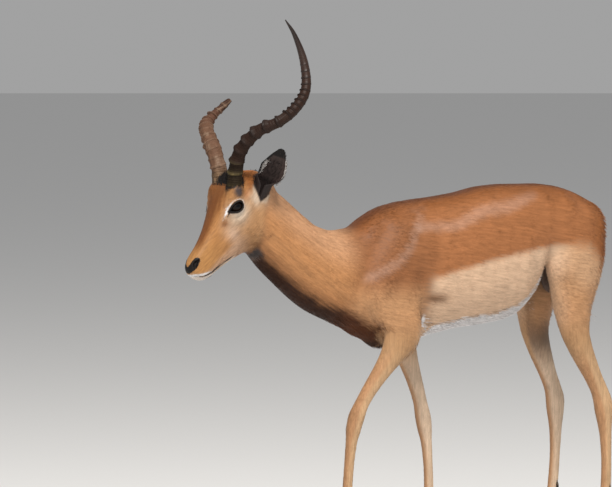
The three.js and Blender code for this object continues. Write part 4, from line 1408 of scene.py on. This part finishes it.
def eyeMaterial():
    # fine fibres of brown in the iris, nearly black round it and in the pupil
    material, tree, surface = newMaterial("eyeDark", **{
        "Specular IOR Level": 0.07, "Coat Weight": 0.13, "Coat Roughness": 0.03})
    coordinates = objectPlace(tree)
    fibres = noiseOf(tree, coordinates, Scale=900.0, Detail=3.0)
    brown = mixed(tree, fibres, (0.005, 0.003, 0.002, 1), (0.016, 0.008, 0.005, 1))
    colour = mixed(tree, attribute(tree, "iris"), (0.009, 0.006, 0.005, 1), brown)
    colour = mixed(tree, attribute(tree, "pupil"), colour, (0.003, 0.003, 0.004, 1))
    linkAll(tree, surface, {"Base Color": colour, "Roughness": ranged(tree, fibres, 0.16, 0.26)})
    return material


eyeDark = eyeMaterial()
for side, sign in sides:
    rings, u, v, w = eyeBall(sign)
    eye = loftPiece("eyeball_" + side, rings)
    front = (w > 0).ravel()
    offAxis = np.hypot(u, v).ravel()
    slit = np.hypot(u / eyeLook["pupilLong"], v / eyeLook["pupilHigh"]).ravel()
    iris = np.append(smoothStep(eyeLook["iris"] + 1, eyeLook["iris"] - 0.5, offAxis) * front, (1, 0))
    pupil = np.append(smoothStep(1.12, 0.95, slit) * front, (1, 0))
    writeLayers(eye.data, dict(iris=iris, pupil=pupil))
    eye.data.materials.append(eyeDark)
    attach(eye, "root")
    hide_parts("eye_" + side)
print("eyes done")

# Horns: the solids' own curves, with every ring, groove and the broken end worked out
def scattered(values):
    # a repeatable scatter from -1 to 1
    return np.modf(np.sin(values * 12.9898) * 43758.5453)[0]


def softHash(values):
    # the same scatter, eased from one whole number to the next
    whole = np.floor(values)
    t = values - whole
    return scattered(whole) + (scattered(whole + 1) - scattered(whole)) * t * t * (3 - 2 * t)


hornForm = dict(crowdFrom=0.46, before=0.06, behind=0.21, ridge=1.15, fine=0.30, spacing=5.2, flute=0.35,
                flutes=9, least=0.6, smoothings=30)


def hornSurface(side, rows=520, columns=56):
    # rings square to the curve: radius x (1 + ridge, strongest in front) + fine rings + grooves
    horn = horns[side]
    joints = aboveSkull(horn["points"])
    dense = pathThrough(joints, np.linspace(0, len(joints) - 1, 2000))
    run = np.append(0, np.cumsum(np.linalg.norm(np.diff(dense, axis=0), axis=1)))
    at = np.linspace(horn["table"][0][0], 1, rows)
    centre = np.stack([np.interp(at, run / run[-1], dense[:, k]) for k in range(3)], 1)
    start = unit(dense[20] - dense[0])
    centre += np.minimum(at, 0)[:, None] * run[-1] * start
    tangent = unit(np.gradient(centre, axis=0))
    for _ in range(hornForm["smoothings"]):
        tangent[1:-1] = unit(tangent[:-2] + tangent[2:])
    front = unit(facing - tangent * (tangent @ facing)[:, None])
    aside = np.cross(tangent, front)
    angle = circle(columns)[None, :]
    at = at[:, None]
    faced = 0.5 + 0.5 * np.cos(angle)
    radius, height = between(horn["table"], 1, at), between(horn["table"], 2, at)
    crowded = at + horn["crowding"] * np.maximum(at - hornForm["crowdFrom"], 0)
    wobble = 0.10 * np.sin(angle + 0.7) + 0.16 * (faced - 0.5) + 0.10 * softHash(at * 9 + 3)
    phase = horn["ridges"] * crowded + wobble
    share = phase - np.round(phase)
    ridge = np.exp(-(share / np.where(share < 0, hornForm["before"], hornForm["behind"])) ** 2)
    ridge = ridge * (1 + horn["uneven"] * scattered(np.round(phase) + 5))
    ridge = ridge * (horn["allRound"] + (1 - horn["allRound"]) * faced)
    wander = 2.2 * softHash(at * 31 + 11) + 0.9 * np.sin(angle + 4 * softHash(at * 12))
    turns = 2 * np.pi * run[-1] * at / hornForm["spacing"] + wander
    fine = hornForm["fine"] * np.sin(turns) * (0.6 + 0.5 * softHash(at * 47))
    fine *= smoothStep(horn["smoothFrom"], 0.5, at) * (1 + 0.2 * smoothStep(0.13, 0.05, at))
    grain = horn["rough"] * (0.6 * softHash(angle * 5.0 + 2 * softHash(at * 22)) * softHash(at * 60 + 7)
                             + 0.5 * softHash(at * 95 + np.round(angle * 3)))
    grain *= smoothStep(horn["smoothFrom"], 0.55, at)
    reach = radius * (1 + height * hornForm["ridge"] * ridge) + fine + grain
    reach += hornForm["flute"] * np.cos(hornForm["flutes"] * angle + 3 * at) * smoothStep(0.9, 0.2, at)
    reach = np.maximum(reach, hornForm["least"])
    rings = centre[:, None] + reach[..., None] * (np.cos(angle)[..., None] * front[:, None]
                                                  + np.sin(angle)[..., None] * aside[:, None])
    crest = np.clip(ridge * smoothStep(0, 0.1, height) + 0.35 * np.clip(fine, 0, 1), 0, 1)
    worn = softHash(at * 26 + 1.5 * np.sin(angle)) * softHash(at * 9 + 2.6 * np.cos(angle + 0.6) + 4)
    crest = crest * (1 - 0.6 * horn["patches"]) + horn["patches"] * smoothStep(0.02, 0.4, worn)
    return rings, at + 0 * angle, crest


def hornMaterial():
    # blotched keratin, paler where the ridges are worn and glossier towards the tip
    material, tree, surface = newMaterial("hornKeratin", **{
        "Specular IOR Level": 0.1, "Coat Roughness": 0.42})
    coordinates = objectPlace(tree)
    blotch = noiseOf(tree, coordinates, Scale=120.0, Detail=4.0, Roughness=0.65)
    grain = noiseOf(tree, coordinates, Scale=700.0, Detail=3.0, Roughness=0.6)
    worn = mathNode(tree, "MULTIPLY", attribute(tree, "crest"), mathNode(tree, "MULTIPLY", blotch, 1.5))
    colour = mixed(tree, worn, attribute(tree, "shaft", "Color"), attribute(tree, "wear", "Color"))
    blotches, grains = mathNode(tree, "MULTIPLY", blotch, 0.7), mathNode(tree, "MULTIPLY", grain, 0.4)
    shade = mathNode(tree, "ADD", 0.45, mathNode(tree, "ADD", blotches, grains))
    colour = scaled(tree, colour, shade)
    polish = attribute(tree, "polish")
    linkAll(tree, surface, {"Base Color": colour, "Roughness": ranged(tree, polish, 0.62, 0.24),
                            "Coat Weight": polish, "Normal": bumped(tree, grain, 0.5, 0.0008)})
    return material


keratin = hornMaterial()
for side, look in horns.items():
    rings, at, crest = hornSurface(side)
    horn = loftPiece("horn_rings_" + side, rings)
    at, crest = (np.append(v.ravel(), (v[0, 0], v[-1, 0])) for v in (at, crest))
    lower, upper, root, top, rootTop = (
        np.array(look[key]) for key in ("lower", "upper", "root", "crest", "rootRing"))
    atRoot = smoothStep(0.14, 0.06, at)[:, None]
    shaft = lower + (upper - lower) * smoothStep(0.45, 0.8, at)[:, None]
    shaft *= 1 - 0.6 * smoothStep(0.78, 0.92, at)[:, None]
    shaft += (root * 0.62 - shaft) * atRoot
    wear = top + (rootTop - top) * atRoot
    polish = 0.15 * crest
    if side == "left":
        polish = 0.12 * smoothStep(0.1, 0.4, at) + 0.5 * smoothStep(0.6, 0.8, at)
    writeLayers(horn.data, dict(shaft=shaft, wear=wear, crest=crest, polish=polish))
    horn.data.materials.append(keratin)
    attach(horn, "root")
    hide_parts("horn_" + side)
print("horns done")

# Hooves: two claws to a foot
claw = dict(length=64, width=21, spread=23, height=44, top=48, setBack=4, toe=0.56, heel=0.44, lean=0.12,
            narrowing=0.35, inner=0.93, growth=0.18)
# height and size
clawTable = [[0, 0.965], [1.2, 1.0], [14, 0.95], [26, 0.87], [36, 0.78], [41, 0.72], [44, 0.60], [48, 0.50]]


def clawRings(foot, side, rows=44, columns=48):
    # upright sections from a flat sole to the coronet, narrow at the toe; the inner wall is nearly flat
    z = np.linspace(0, claw["top"], rows)[:, None]
    size = between(clawTable, 1, z)
    angle = circle(columns)[None, :]
    ahead = np.cos(angle)
    half = claw["width"] / 2 * np.sqrt(size)
    reach = claw["length"] * np.where(ahead > 0, claw["toe"] * size**1.35, claw["heel"] * size**0.3)
    narrowing = 1 - claw["narrowing"] * np.maximum(ahead, 0) ** 2
    flat = np.where(np.sin(angle) * side < 0, claw["inner"], 1.0)
    rings = np.sin(z * 1.9 + 0.6 * np.cos(angle))
    growth = claw["growth"] * rings * smoothStep(2, 6, z) * smoothStep(44, 38, z)
    x = foot[0] - (claw["height"] - z) * claw["lean"] - ahead * (reach + growth)
    y = foot[1] + side * claw["spread"] / 2 + np.sin(angle) * (half + growth) * narrowing * flat
    return np.stack([x + 0 * y, y + 0 * x, z + 0 * (x + y)], -1)


def hoofMaterial():
    # dark horn with upright fibres
    material, tree, surface = newMaterial("hoofHorn")
    coordinates = objectPlace(tree)
    fibres = stretched(tree, coordinates, 0, (1400, 1400, 90), 3)
    colour = mixed(tree, fibres, (0.012, 0.010, 0.009, 1), (0.075, 0.058, 0.046, 1))
    linkAll(tree, surface, {"Base Color": colour, "Roughness": ranged(tree, fibres, 0.32, 0.6),
                            "Normal": bumped(tree, fibres, 0.3, 0.0005)})
    return material


hoofHorn = hoofMaterial()
for name in limbTables:
    if name == "tail":
        continue
    coronet = limbs[name][5]
    foot = name.replace("leg", "")
    for edge, sign in (("inner", 1), ("outer", -1)):
        facingSide = sign if name.endswith("left") else -sign
        rings = clawRings((coronet[0] - claw["setBack"], coronet[1]), facingSide)
        hoof = loftPiece("hoof_" + foot + "_" + edge, rings)
        hoof.data.materials.append(hoofHorn)
        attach(hoof, "root")
        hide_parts("claw_" + foot + "_" + edge)
print("hooves done")

# Coat: short tufts lying along the body over all of the skin, longer where the coat breaks the outline
coat = dict(seed=7, fringeSeed=40, lashSeed=60, sink=0.6, patch=0.003, thick=0.15, spread=0.16, bend=0.10)
regions = {  # tufts, length, width, lift off the skin, rings, a slot name (only head_coat is read, to shorten the face's hairs), share of the skin's own normal
    name: dict(count=count, length=length, width=width, lift=lift, rings=rings, slot=slot, skinShare=share)
    for name, count, length, width, lift, rings, slot, share in (
        ("flank_left", 19500, 14, 1.5, 0.35, 2, "back_coat", 0.85),
        ("flank_right", 19500, 14, 1.5, 0.35, 2, "back_coat", 0.85),
        ("neck", 16000, 14, 1.5, 0.55, 2, "neck_coat", 0.85),
        ("face", 19400, 6.5, 0.8, 0.25, 2, "head_coat", 0.85),
        ("legs", 18300, 9, 1.1, 0.35, 2, "leg_coat", 0.85),
        ("belly", 7000, 19, 1.7, 1.7, 3, "back_coat", 0.5),
        ("brisket", 3000, 22, 1.9, 2.4, 3, "neck_coat", 0.5),
        ("rump", 5000, 20, 1.8, 1.6, 3, "back_coat", 0.5),
        ("jaw", 3800, 9, 1.0, 1.2, 2, "head_coat", 0.5),
        ("crown", 3600, 11, 1.2, 1.3, 2, "head_coat", 0.5),
        ("topknot", 650, 20, 1.3, 8, 3, "head_coat", 0.5),
        ("earBacks", 6500, 4.2, 0.8, 0.2, 2, "ear", 0.85),
        ("fetlocks", 3000, 17, 1.4, 2.6, 2, "leg_coat", 0.5),
        ("coronets", 1300, 10, 1.0, 0.9, 2, "leg_coat", 0.6),
        ("tail", 5100, 44, 2.2, 4.0, 4, "tail_coat", 0.5),
    )
}
headFlow = [  # place along and above, then the way the hair points there, along and above
    (236, -85, -1.0, 0.2), (190, -90, -1.0, -0.1), (120, -60, -1.0, 0.25), (120, -120, -1.0, -0.35),
    (60, -15, -1.0, 0.4), (60, -80, -0.9, -0.5), (20, -120, -0.8, -0.7), (0, 0, -1.0, 0.1),
    (-50, -40, -1.0, -0.5), (60, -160, -1.0, -0.4),
]


def hairLie(points, normals, marks):
    # which way the hair points: back along the trunk, down the neck and the legs, up the face to the crown
    x, y, z = points.T
    neckness, headness, legness = marks["lie"].T
    back = np.tile(np.array([1.0, 0, -0.16]), (len(points), 1))
    back[:, 2] -= 0.35 * smoothStep(-180, -300, x) + 0.5 * smoothStep(180, 300, x) * smoothStep(860, 700, z)
    down = np.tile(np.array([0.80, 0, -0.60]), (len(points), 1))
    flow = back + (down - back) * neckness[:, None]
    for name in limbs:
        own = (z < 720) & onSide(name, y) & (legness > 0.02)
        if name == "tail":
            own = (x > 300) & (np.abs(y) < 30) & (z < 860)
        own = np.flatnonzero(own)
        if len(own) == 0:
            continue
        at, _, _, away = limbPlace(name, points[own], 200)
        joints = limbs[name]
        after = np.minimum(at + 0.02, len(joints) - 1.0)
        ahead = unit(pathThrough(joints, after) - pathThrough(joints, at - 0.02))
        weight = legness[own] if name != "tail" else smoothStep(30, 22, away)
        flow[own] += (ahead - flow[own]) * (weight * (away < 90))[:, None]
    a, _, d = headPlace(points)
    table = np.array(headFlow)
    squares = ((a[:, None] - table[:, 0]) / 40) ** 2 + ((d[:, None] - table[:, 1]) / 30) ** 2
    share = 1 / (squares + 0.05) ** 1.5
    share /= share.sum(1, keepdims=True)
    onFace = (share @ table[:, 2])[:, None] * muzzleward + (share @ table[:, 3])[:, None] * bridgeward
    flow += (onFace - flow) * headness[:, None]
    for name in ears:
        flow += (earFrame(name)[1] - flow) * earPlace(name, points)[3][:, None]
    flow = flow - normals * (flow * normals).sum(1)[:, None]
    return unit(flow)


def unwrapPlace(points, marks):
    # where a root falls on the skin opened out flat: each part, cut along its far side, has its own strip
    x, y, z = points.T
    neckness, headness, legness = marks["lie"].T
    a, l, d = headPlace(points)

    def around(sideways, rise):
        # share of a turn about a part's own axis
        return np.arctan2(sideways, rise) / (2 * np.pi) + 0.5

    level = (between(trunkTable, 1, x) + between(trunkTable, 2, x)) / 2
    u = 0.46 + (x + 398) / 745 * 0.52
    v = 0.01 + 0.47 * around(y, z - level)
    neckLevel = np.interp(x, [-720, -300], [860, 700])
    strips = (  # where, first u and its width, place along it, then which way round
        (neckness > 0.5, 0.24, 0.2, np.clip((-x - 350) / 400, 0, 1), around(y, z - neckLevel)),
        (headness > 0.5, 0.01, 0.21, (a + 100) / 345, around(l, d + 90)),
    )
    for on, low, width, share, turn in strips:
        u = np.where(on, low + width * share, u)
        v = np.where(on, 0.01 + 0.47 * turn, v)
    for index, name in enumerate(limbs):
        own = (legness > 0.5) & onSide(name, y) & (("fore" in name) == (x < 60))
        if name == "tail":
            own = (x > 300) & (np.abs(y) < 30) & (z < 850)
        own = np.flatnonzero(own)
        at, ahead, aside, _ = limbPlace(name, points[own], 200)
        u[own] = 0.01 + 0.13 * index + 0.11 * around(aside, ahead)
        v[own] = 0.52 + 0.46 * at / 5
    for index, name in enumerate(ears):
        at, behind, halfWidth, own = earPlace(name, points)
        base, _, _, outward = earFrame(name)
        inner = (points - base) @ outward > -6
        column = 0.68 + 0.16 * index + 0.07 * inner
        u = np.where(own > 0.5, column + 0.06 * behind / (2 * halfWidth + 1), u)
        v = np.where(own > 0.5, 0.52 + 0.46 * np.clip(at, 0, 1), v)
    return np.clip(np.stack([u, v], 1), 0.004, 0.996)


def meshFromArrays(name, points, quads, triangles):
    # a piece from whole arrays, and the point at each of its corners
    mesh = bpy.data.meshes.new(name)
    mesh.vertices.add(len(points))
    mesh.vertices.foreach_set("co", place(points).ravel())
    corners = np.concatenate([quads.ravel(), triangles.ravel()]).astype(np.int32)
    mesh.loops.add(len(corners))
    mesh.loops.foreach_set("vertex_index", corners)
    starts = np.concatenate([np.arange(len(quads)) * 4, len(quads) * 4 + np.arange(len(triangles)) * 3])
    mesh.polygons.add(len(starts))
    mesh.polygons.foreach_set("loop_start", starts.astype(np.int32))
    mesh.update(calc_edges=True)
    mesh.shade_smooth()
    return inScene(name, mesh), corners


def scatter(weight, count, random):
    # roots spread over the skin's triangles by area and weight, each with the skin's normal there
    mesh = hide.data
    mesh.calc_loop_triangles()
    corners = np.empty(len(mesh.loop_triangles) * 3, int)
    mesh.loop_triangles.foreach_get("vertices", corners)
    corners = corners.reshape(-1, 3)
    p = hidePoints[corners]
    area = np.linalg.norm(np.cross(p[:, 1] - p[:, 0], p[:, 2] - p[:, 0]), axis=1)
    chance = np.cumsum(area * weight[corners].min(1))
    chosen = corners[np.searchsorted(chance, random.random(count) * chance[-1])]
    s, t = random.random((2, count))
    flip = s + t > 1
    s, t = np.where(flip, 1 - s, s), np.where(flip, 1 - t, t)
    shares = np.stack([1 - s - t, s, t], 1)[..., None]
    return (hidePoints[chosen] * shares).sum(1), unit((hideNormals[chosen] * shares).sum(1))


def finest(roots):
    # the share of its full length that a hair has on the nose and close round the eyes
    a, _, _ = headPlace(roots)
    return (0.4 + 0.6 * smoothStep(225, 110, a)) * (0.5 + 0.5 * smoothStep(22, 42, eyeDistance(roots)))


def tuftPiece(name, roots, normals, lies, look, random, marks):
    # each tuft is a blade of three sides: root + lie x run + normal x lift x sin, narrowing to a point
    count, rings = len(roots), look["rings"]
    shares = np.linspace(0, 1, rings + 1)[:-1]
    fineness = finest(roots) if look["slot"] == "head_coat" else np.ones(count)
    length = look["length"] * (0.7 + 0.6 * random.random(count)) * fineness
    width = look["width"] * (0.75 + 0.5 * random.random(count)) * np.sqrt(fineness)
    lift = look["lift"] * (0.5 + random.random(count))
    bend = look.get("bend", coat["bend"]) * length * (random.random(count) - 0.5) * 2
    lateral = np.cross(normals, lies)
    angle = coat["spread"] * random.standard_normal(count)
    lies = lies * np.cos(angle)[:, None] + lateral * np.sin(angle)[:, None]
    lateral = np.cross(normals, lies)
    rows = []
    for share in np.append(shares, 1.0):
        rise = lift * np.sin(share * np.pi / 2) - coat["sink"] * (1 - share)
        middle = (roots + lies * (length * share)[:, None] + normals * rise[:, None]
                  + lateral * (bend * share**2)[:, None])
        if share == 1.0:
            rows.append(middle[:, None])
            continue
        belly = (0.72 + 0.28 * np.sin(np.pi * min(share * 2, 1))) * (1 - 0.5 * max(share * 2 - 1, 0))
        half = width / 2 * belly
        high = width * coat["thick"]
        rows.append(np.stack([middle + lateral * half[:, None], middle - lateral * half[:, None],
                              middle + normals * high[:, None]], 1))
    points = np.concatenate(rows, 1)
    size = points.shape[1]
    quads, triangles = [], [(0, 1, 2)]
    for k in range(rings - 1):
        left, right, top = 3 * k, 3 * k + 1, 3 * k + 2
        quads += [(p, p + 3, q + 3, q) for p, q in ((left, right), (right, top), (top, left))]
    left, right, top, tip = size - 4, size - 3, size - 2, size - 1
    triangles += [(left, tip, right), (right, tip, top), (top, tip, left)]
    start = (np.arange(count) * size)[:, None, None]
    quads = (np.array(quads) + start).reshape(-1, 4)
    triangles = (np.array(triangles) + start).reshape(-1, 3)
    piece, corners = meshFromArrays(name, points.reshape(-1, 3), quads, triangles)
    # each side's normal leans between the skin's and its own, and the underside faces the skin
    leaning = np.zeros((count, size, 3)) + normals[:, None] * look["skinShare"]
    for k in range(rings):
        leaning[:, 3 * k] += lateral * (1 - look["skinShare"])
        leaning[:, 3 * k + 1] -= lateral * (1 - look["skinShare"])
    below = np.concatenate([np.tile(np.repeat([True, False, False], 4), count * (rings - 1)),
                            np.tile(np.repeat([True, True, False, False], 3), count)])
    cornerNormals = unit(leaning).reshape(-1, 3)[corners]
    cornerNormals[below] = -np.repeat(normals, size, 0)[corners[below]]
    piece.data.normals_split_custom_set(cornerNormals.tolist())
    writeLayers(piece.data, marks, size)
    along = np.append(np.repeat(shares, 3), 1.0)
    strand = np.repeat(random.random(count) * 2 - 1, size)
    writeLayers(piece.data, dict(tip=np.tile(along, count), strand=strand))
    local = np.stack([along - 0.5, np.append(np.tile([-0.5, 0.5, 0.0], rings), 0)], 1) * coat["patch"]
    flat = (unwrapPlace(roots, marks)[:, None] + local).reshape(-1, 2)
    piece.data.uv_layers.new(name="OFBake").data.foreach_set("uv", flat[corners].ravel())
    piece.data.materials.append(tuftCoat)
    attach(piece, "root")
    return piece


def regionWeights():
    # where each kind of tuft grows, as a share for each point of the skin
    x, y, z = hidePoints.T
    a, l, d = headPlace(hidePoints)
    neckness, headness, legness = hideMarks["lie"].T
    onEar, facingEar, tube = np.zeros((3, len(x)))
    for name in ears:
        at, _, _, own = earPlace(name, hidePoints)
        onEar = np.maximum(onEar, own)
        facingEar = np.maximum(facingEar, np.abs(hideNormals @ earFrame(name)[3]) * (own > 0))
        tube = np.maximum(tube, own * (at < 0.42))
    nearEye = np.minimum(*(np.abs(almondDistance(hidePoints, sign)[0]) + 60 * (np.sign(l) != sign)
                           for sign in (1, -1)))
    bare = smoothStep(3.0, 5.0, np.where(headness > 0.5, nearEye, 60))
    bare *= np.where((headness > 0.5) & (a > 205) & (hideMarks["black"] > 0), 0, 1)
    inHorn = smoothStep(15, 18, np.minimum(*hornAway(hidePoints)))
    haired = bare * np.where(headness > 0.3, inHorn, 1)
    onTail = (x > 300) & (np.abs(y) < 26) & (z < 862) & (z > 540)
    trunk = (1 - neckness) * (1 - headness) * (1 - legness) * ~onTail
    down = -hideNormals[:, 2]
    throat = pathDistance(x, z, throatLine)
    underNeck = smoothStep(34, 8, throat) * neckness * smoothStep(-470, -420, x)
    underChest = trunk * smoothStep(0.1, 0.7, down) * (x < -200) * (z < 580)
    underJaw = haired * smoothStep(-100, -128, d) * headness * (a < 205) * (a > 30)
    underThroat = neckness * smoothStep(26, 8, throat) * (x < -600)
    forelock = (hideMarks["black"] > 1) * (a < 24) * (a > -14) * (np.abs(l) < 24) * (d > -16)
    return dict(
        flank_left=trunk * (y < 0),
        flank_right=trunk * (y >= 0),
        neck=neckness,
        face=headness * haired * (1 - onEar),
        legs=legness * (z > 46),
        belly=trunk * (x < 160) * (x > -220) * (hideMarks["white"] > -4) * smoothStep(0.0, 0.5, down + 0.2),
        brisket=underNeck + underChest,
        rump=trunk * (x > 262) * (z < 870) * smoothStep(0.2, 0.6, hideNormals[:, 0]),
        jaw=underJaw + underThroat,
        crown=haired * headness * (1 - onEar) * smoothStep(30, 0, a) * smoothStep(-50, -20, d),
        topknot=headness * forelock * inHorn,
        earBacks=onEar * np.maximum(smoothStep(0.45, 0.7, facingEar), tube),
        fetlocks=(hideMarks["black"] > -2) * legness * (z > 60) * (x > 100),
        coronets=legness * (z > 40) * (z < 62),
        tail=1.0 * onTail * (z < 838),
    )


fringes = {  # ear's length and turn, from and to, way across, outward and along, hairs, their length, tone
    name: dict(at=at, turn=turn, way=way, count=count, length=length, tone=tone)
    for name, at, turn, way, count, length, tone in (
        ("earFront", (0.40, 0.66), (0.66, 0.9), (0.55, 0.4, 0.7), 120, 12, "hairWhite"),
        ("earRear", (0.42, 0.80), (0.86, 0.98), (0.35, 0.15, 0.6), 170, 7, "hairWhite"),
        ("earLobe", (0.36, 0.44), (0.6, 0.95), (0.4, 0.3, -0.6), 90, 9, "hairWhite"),
        # the hairs deep in the cup take the near-black of the root, as painted shade
        ("earDepth", (0.40, 0.7), (-0.5, 0.5), (0.15, 0.35, 0.8), 240, 11, "earTube"),
    )
}
fringeHair = dict(width=0.65, lift=1.2, rings=3, slot="ear", bend=0.25, skinShare=0.5)
lashHair = dict(count=70, first=0.25, last=2.75, uneven=0.02, rise=1.4, length=9, width=0.5, lift=-1.2,
                rings=3, slot="head_coat", skinShare=0.85)


def plainMarks(name, count):
    # the markings of hairs that are all of one tone
    absent, tone = np.full(count, nowhere), plain(name, count)
    return dict(upper=tone, lower=tone, saddle=-absent, white=absent, black=absent, fray=np.ones(count),
                lie=np.tile(np.array([0, 1.0, 0]), (count, 1)))


def earFringe(name, side):
    # hairs on the inner wall of an ear: turn counts from its middle to one rim
    look = fringes[name]
    random = np.random.default_rng(coat["seed"] + coat["fringeSeed"] + len(name) + len(side))
    at = random.uniform(*look["at"], look["count"])
    turn = random.uniform(*look["turn"], look["count"])
    sign = -ears[side]["back"] if name == "earFront" else ears[side]["back"]
    inward = -np.sign(turn) * (name == "earFront") + (name != "earFront")
    _, axis, across, outward = earFrame(side)
    normals = earNormal(side, at, sign * turn)
    normals *= np.where((normals @ outward) < 0, -1, 1)[:, None]
    roots = earPoint(side, at, sign * turn) + normals * (earSize["rimWall"] / 2 + coat["sink"])
    sideways, forth, along = look["way"]
    lies = unit((sign * inward * sideways)[:, None] * across + forth * outward + along * axis)
    lies = unit(lies - 0.5 * normals * (lies * normals).sum(1)[:, None])
    hairs = dict(fringeHair, length=look["length"])
    marks = plainMarks(look["tone"], look["count"])
    tuftPiece("coat_" + name + "_" + side, roots, normals, lies, hairs, random, marks)


def lashes(side, sign):
    # dark hairs standing out from the upper lid, longest over its middle
    look = lashHair
    count = look["count"]
    random = np.random.default_rng(coat["seed"] + coat["lashSeed"] + sign)
    angle = np.linspace(look["first"], look["last"], count)
    angle += random.uniform(-look["uneven"], look["uneven"], count)
    _, outward, forward, up = eyeFrame(sign)
    u, v = almond(angle)
    roots = fromEye(sign, u, v, lidLevel(sign, field, u, v) + look["rise"])
    lies = unit(outward + 0.25 * up + 0.35 * np.cos(angle)[:, None] * forward - 0.25 * bridgeward)
    tuftPiece("lashes_" + side, roots, np.tile(up, (count, 1)), lies, look, random, plainMarks("lash", count))


weights = regionWeights()
for index, (name, look) in enumerate(regions.items()):
    random = np.random.default_rng(coat["seed"] + index)
    roots, normals = scatter(weights[name], look["count"], random)
    marks = markings(roots, normals)
    tuftPiece("coat_" + name, roots, normals, hairLie(roots, normals, marks), look, random, marks)
for side, sign in sides:
    lashes(side, sign)
    for name in fringes:
        earFringe(name, side)
print("coat:", sum(look["count"] for look in regions.values()), "tufts over the skin")

# Camera, light and floor
view = dict(azimuth=34, height=2.15, distance=15, look=(-515, 0, 777), scale=415, width=612, sensor=36,
            world=0.36, floor=400)


def aimed(name, data, at, ahead):
    # a camera or a light at a point, looking along a direction
    thing = inScene(name, data)
    thing.location = at
    thing.rotation_euler = ahead.to_track_quat("-Z", "Y").to_euler()
    return thing


def addCamera():
    # stands back from the point it looks at, along its azimuth and height
    azimuth, height = math.radians(view["azimuth"]), math.radians(view["height"])
    level = math.cos(height)
    ahead = Vector((math.sin(azimuth) * level, math.cos(azimuth) * level, -math.sin(height)))
    data = bpy.data.cameras.new("camera")
    data.sensor_width = view["sensor"]
    data.lens = view["scale"] * view["distance"] * view["sensor"] / view["width"]
    data.clip_end = 100
    stand = Vector(place(view["look"])) - ahead * view["distance"]
    bpy.context.scene.camera = aimed("camera", data, stand, ahead)


def addLight(name, at, aim, size, power, tint=(1, 1, 1)):
    # a square lamp turned to its aim
    data = bpy.data.lights.new(name, "AREA")
    data.size, data.energy, data.color = size, power, tint
    aimed(name, data, at, Vector(aim) - Vector(at))


addCamera()
addLight("key", (-3.2, -6.2, 10.5), (0, 0, 0.7), 3.5, 1640, (1, 0.96, 0.9))
addLight("fill", (-8.0, -10.5, 4.5), (0, 0, 0.6), 7.5, 190)
world = bpy.data.worlds.new("studio")
bpy.context.scene.world = world
world.use_nodes = True
background = world.node_tree.nodes["Background"].inputs
background["Color"].default_value = (1, 1, 1, 1)
background["Strength"].default_value = view["world"]
bpy.context.scene.view_settings.view_transform = "Standard"

corners = [(x * view["floor"], y * view["floor"], 0) for x, y in ((-1, -1), (1, -1), (1, 1), (-1, 1))]
floorData = bpy.data.meshes.new("floor")
floorData.from_pydata(corners, [], [(0, 1, 2, 3)])
floor = inScene("floor", floorData)
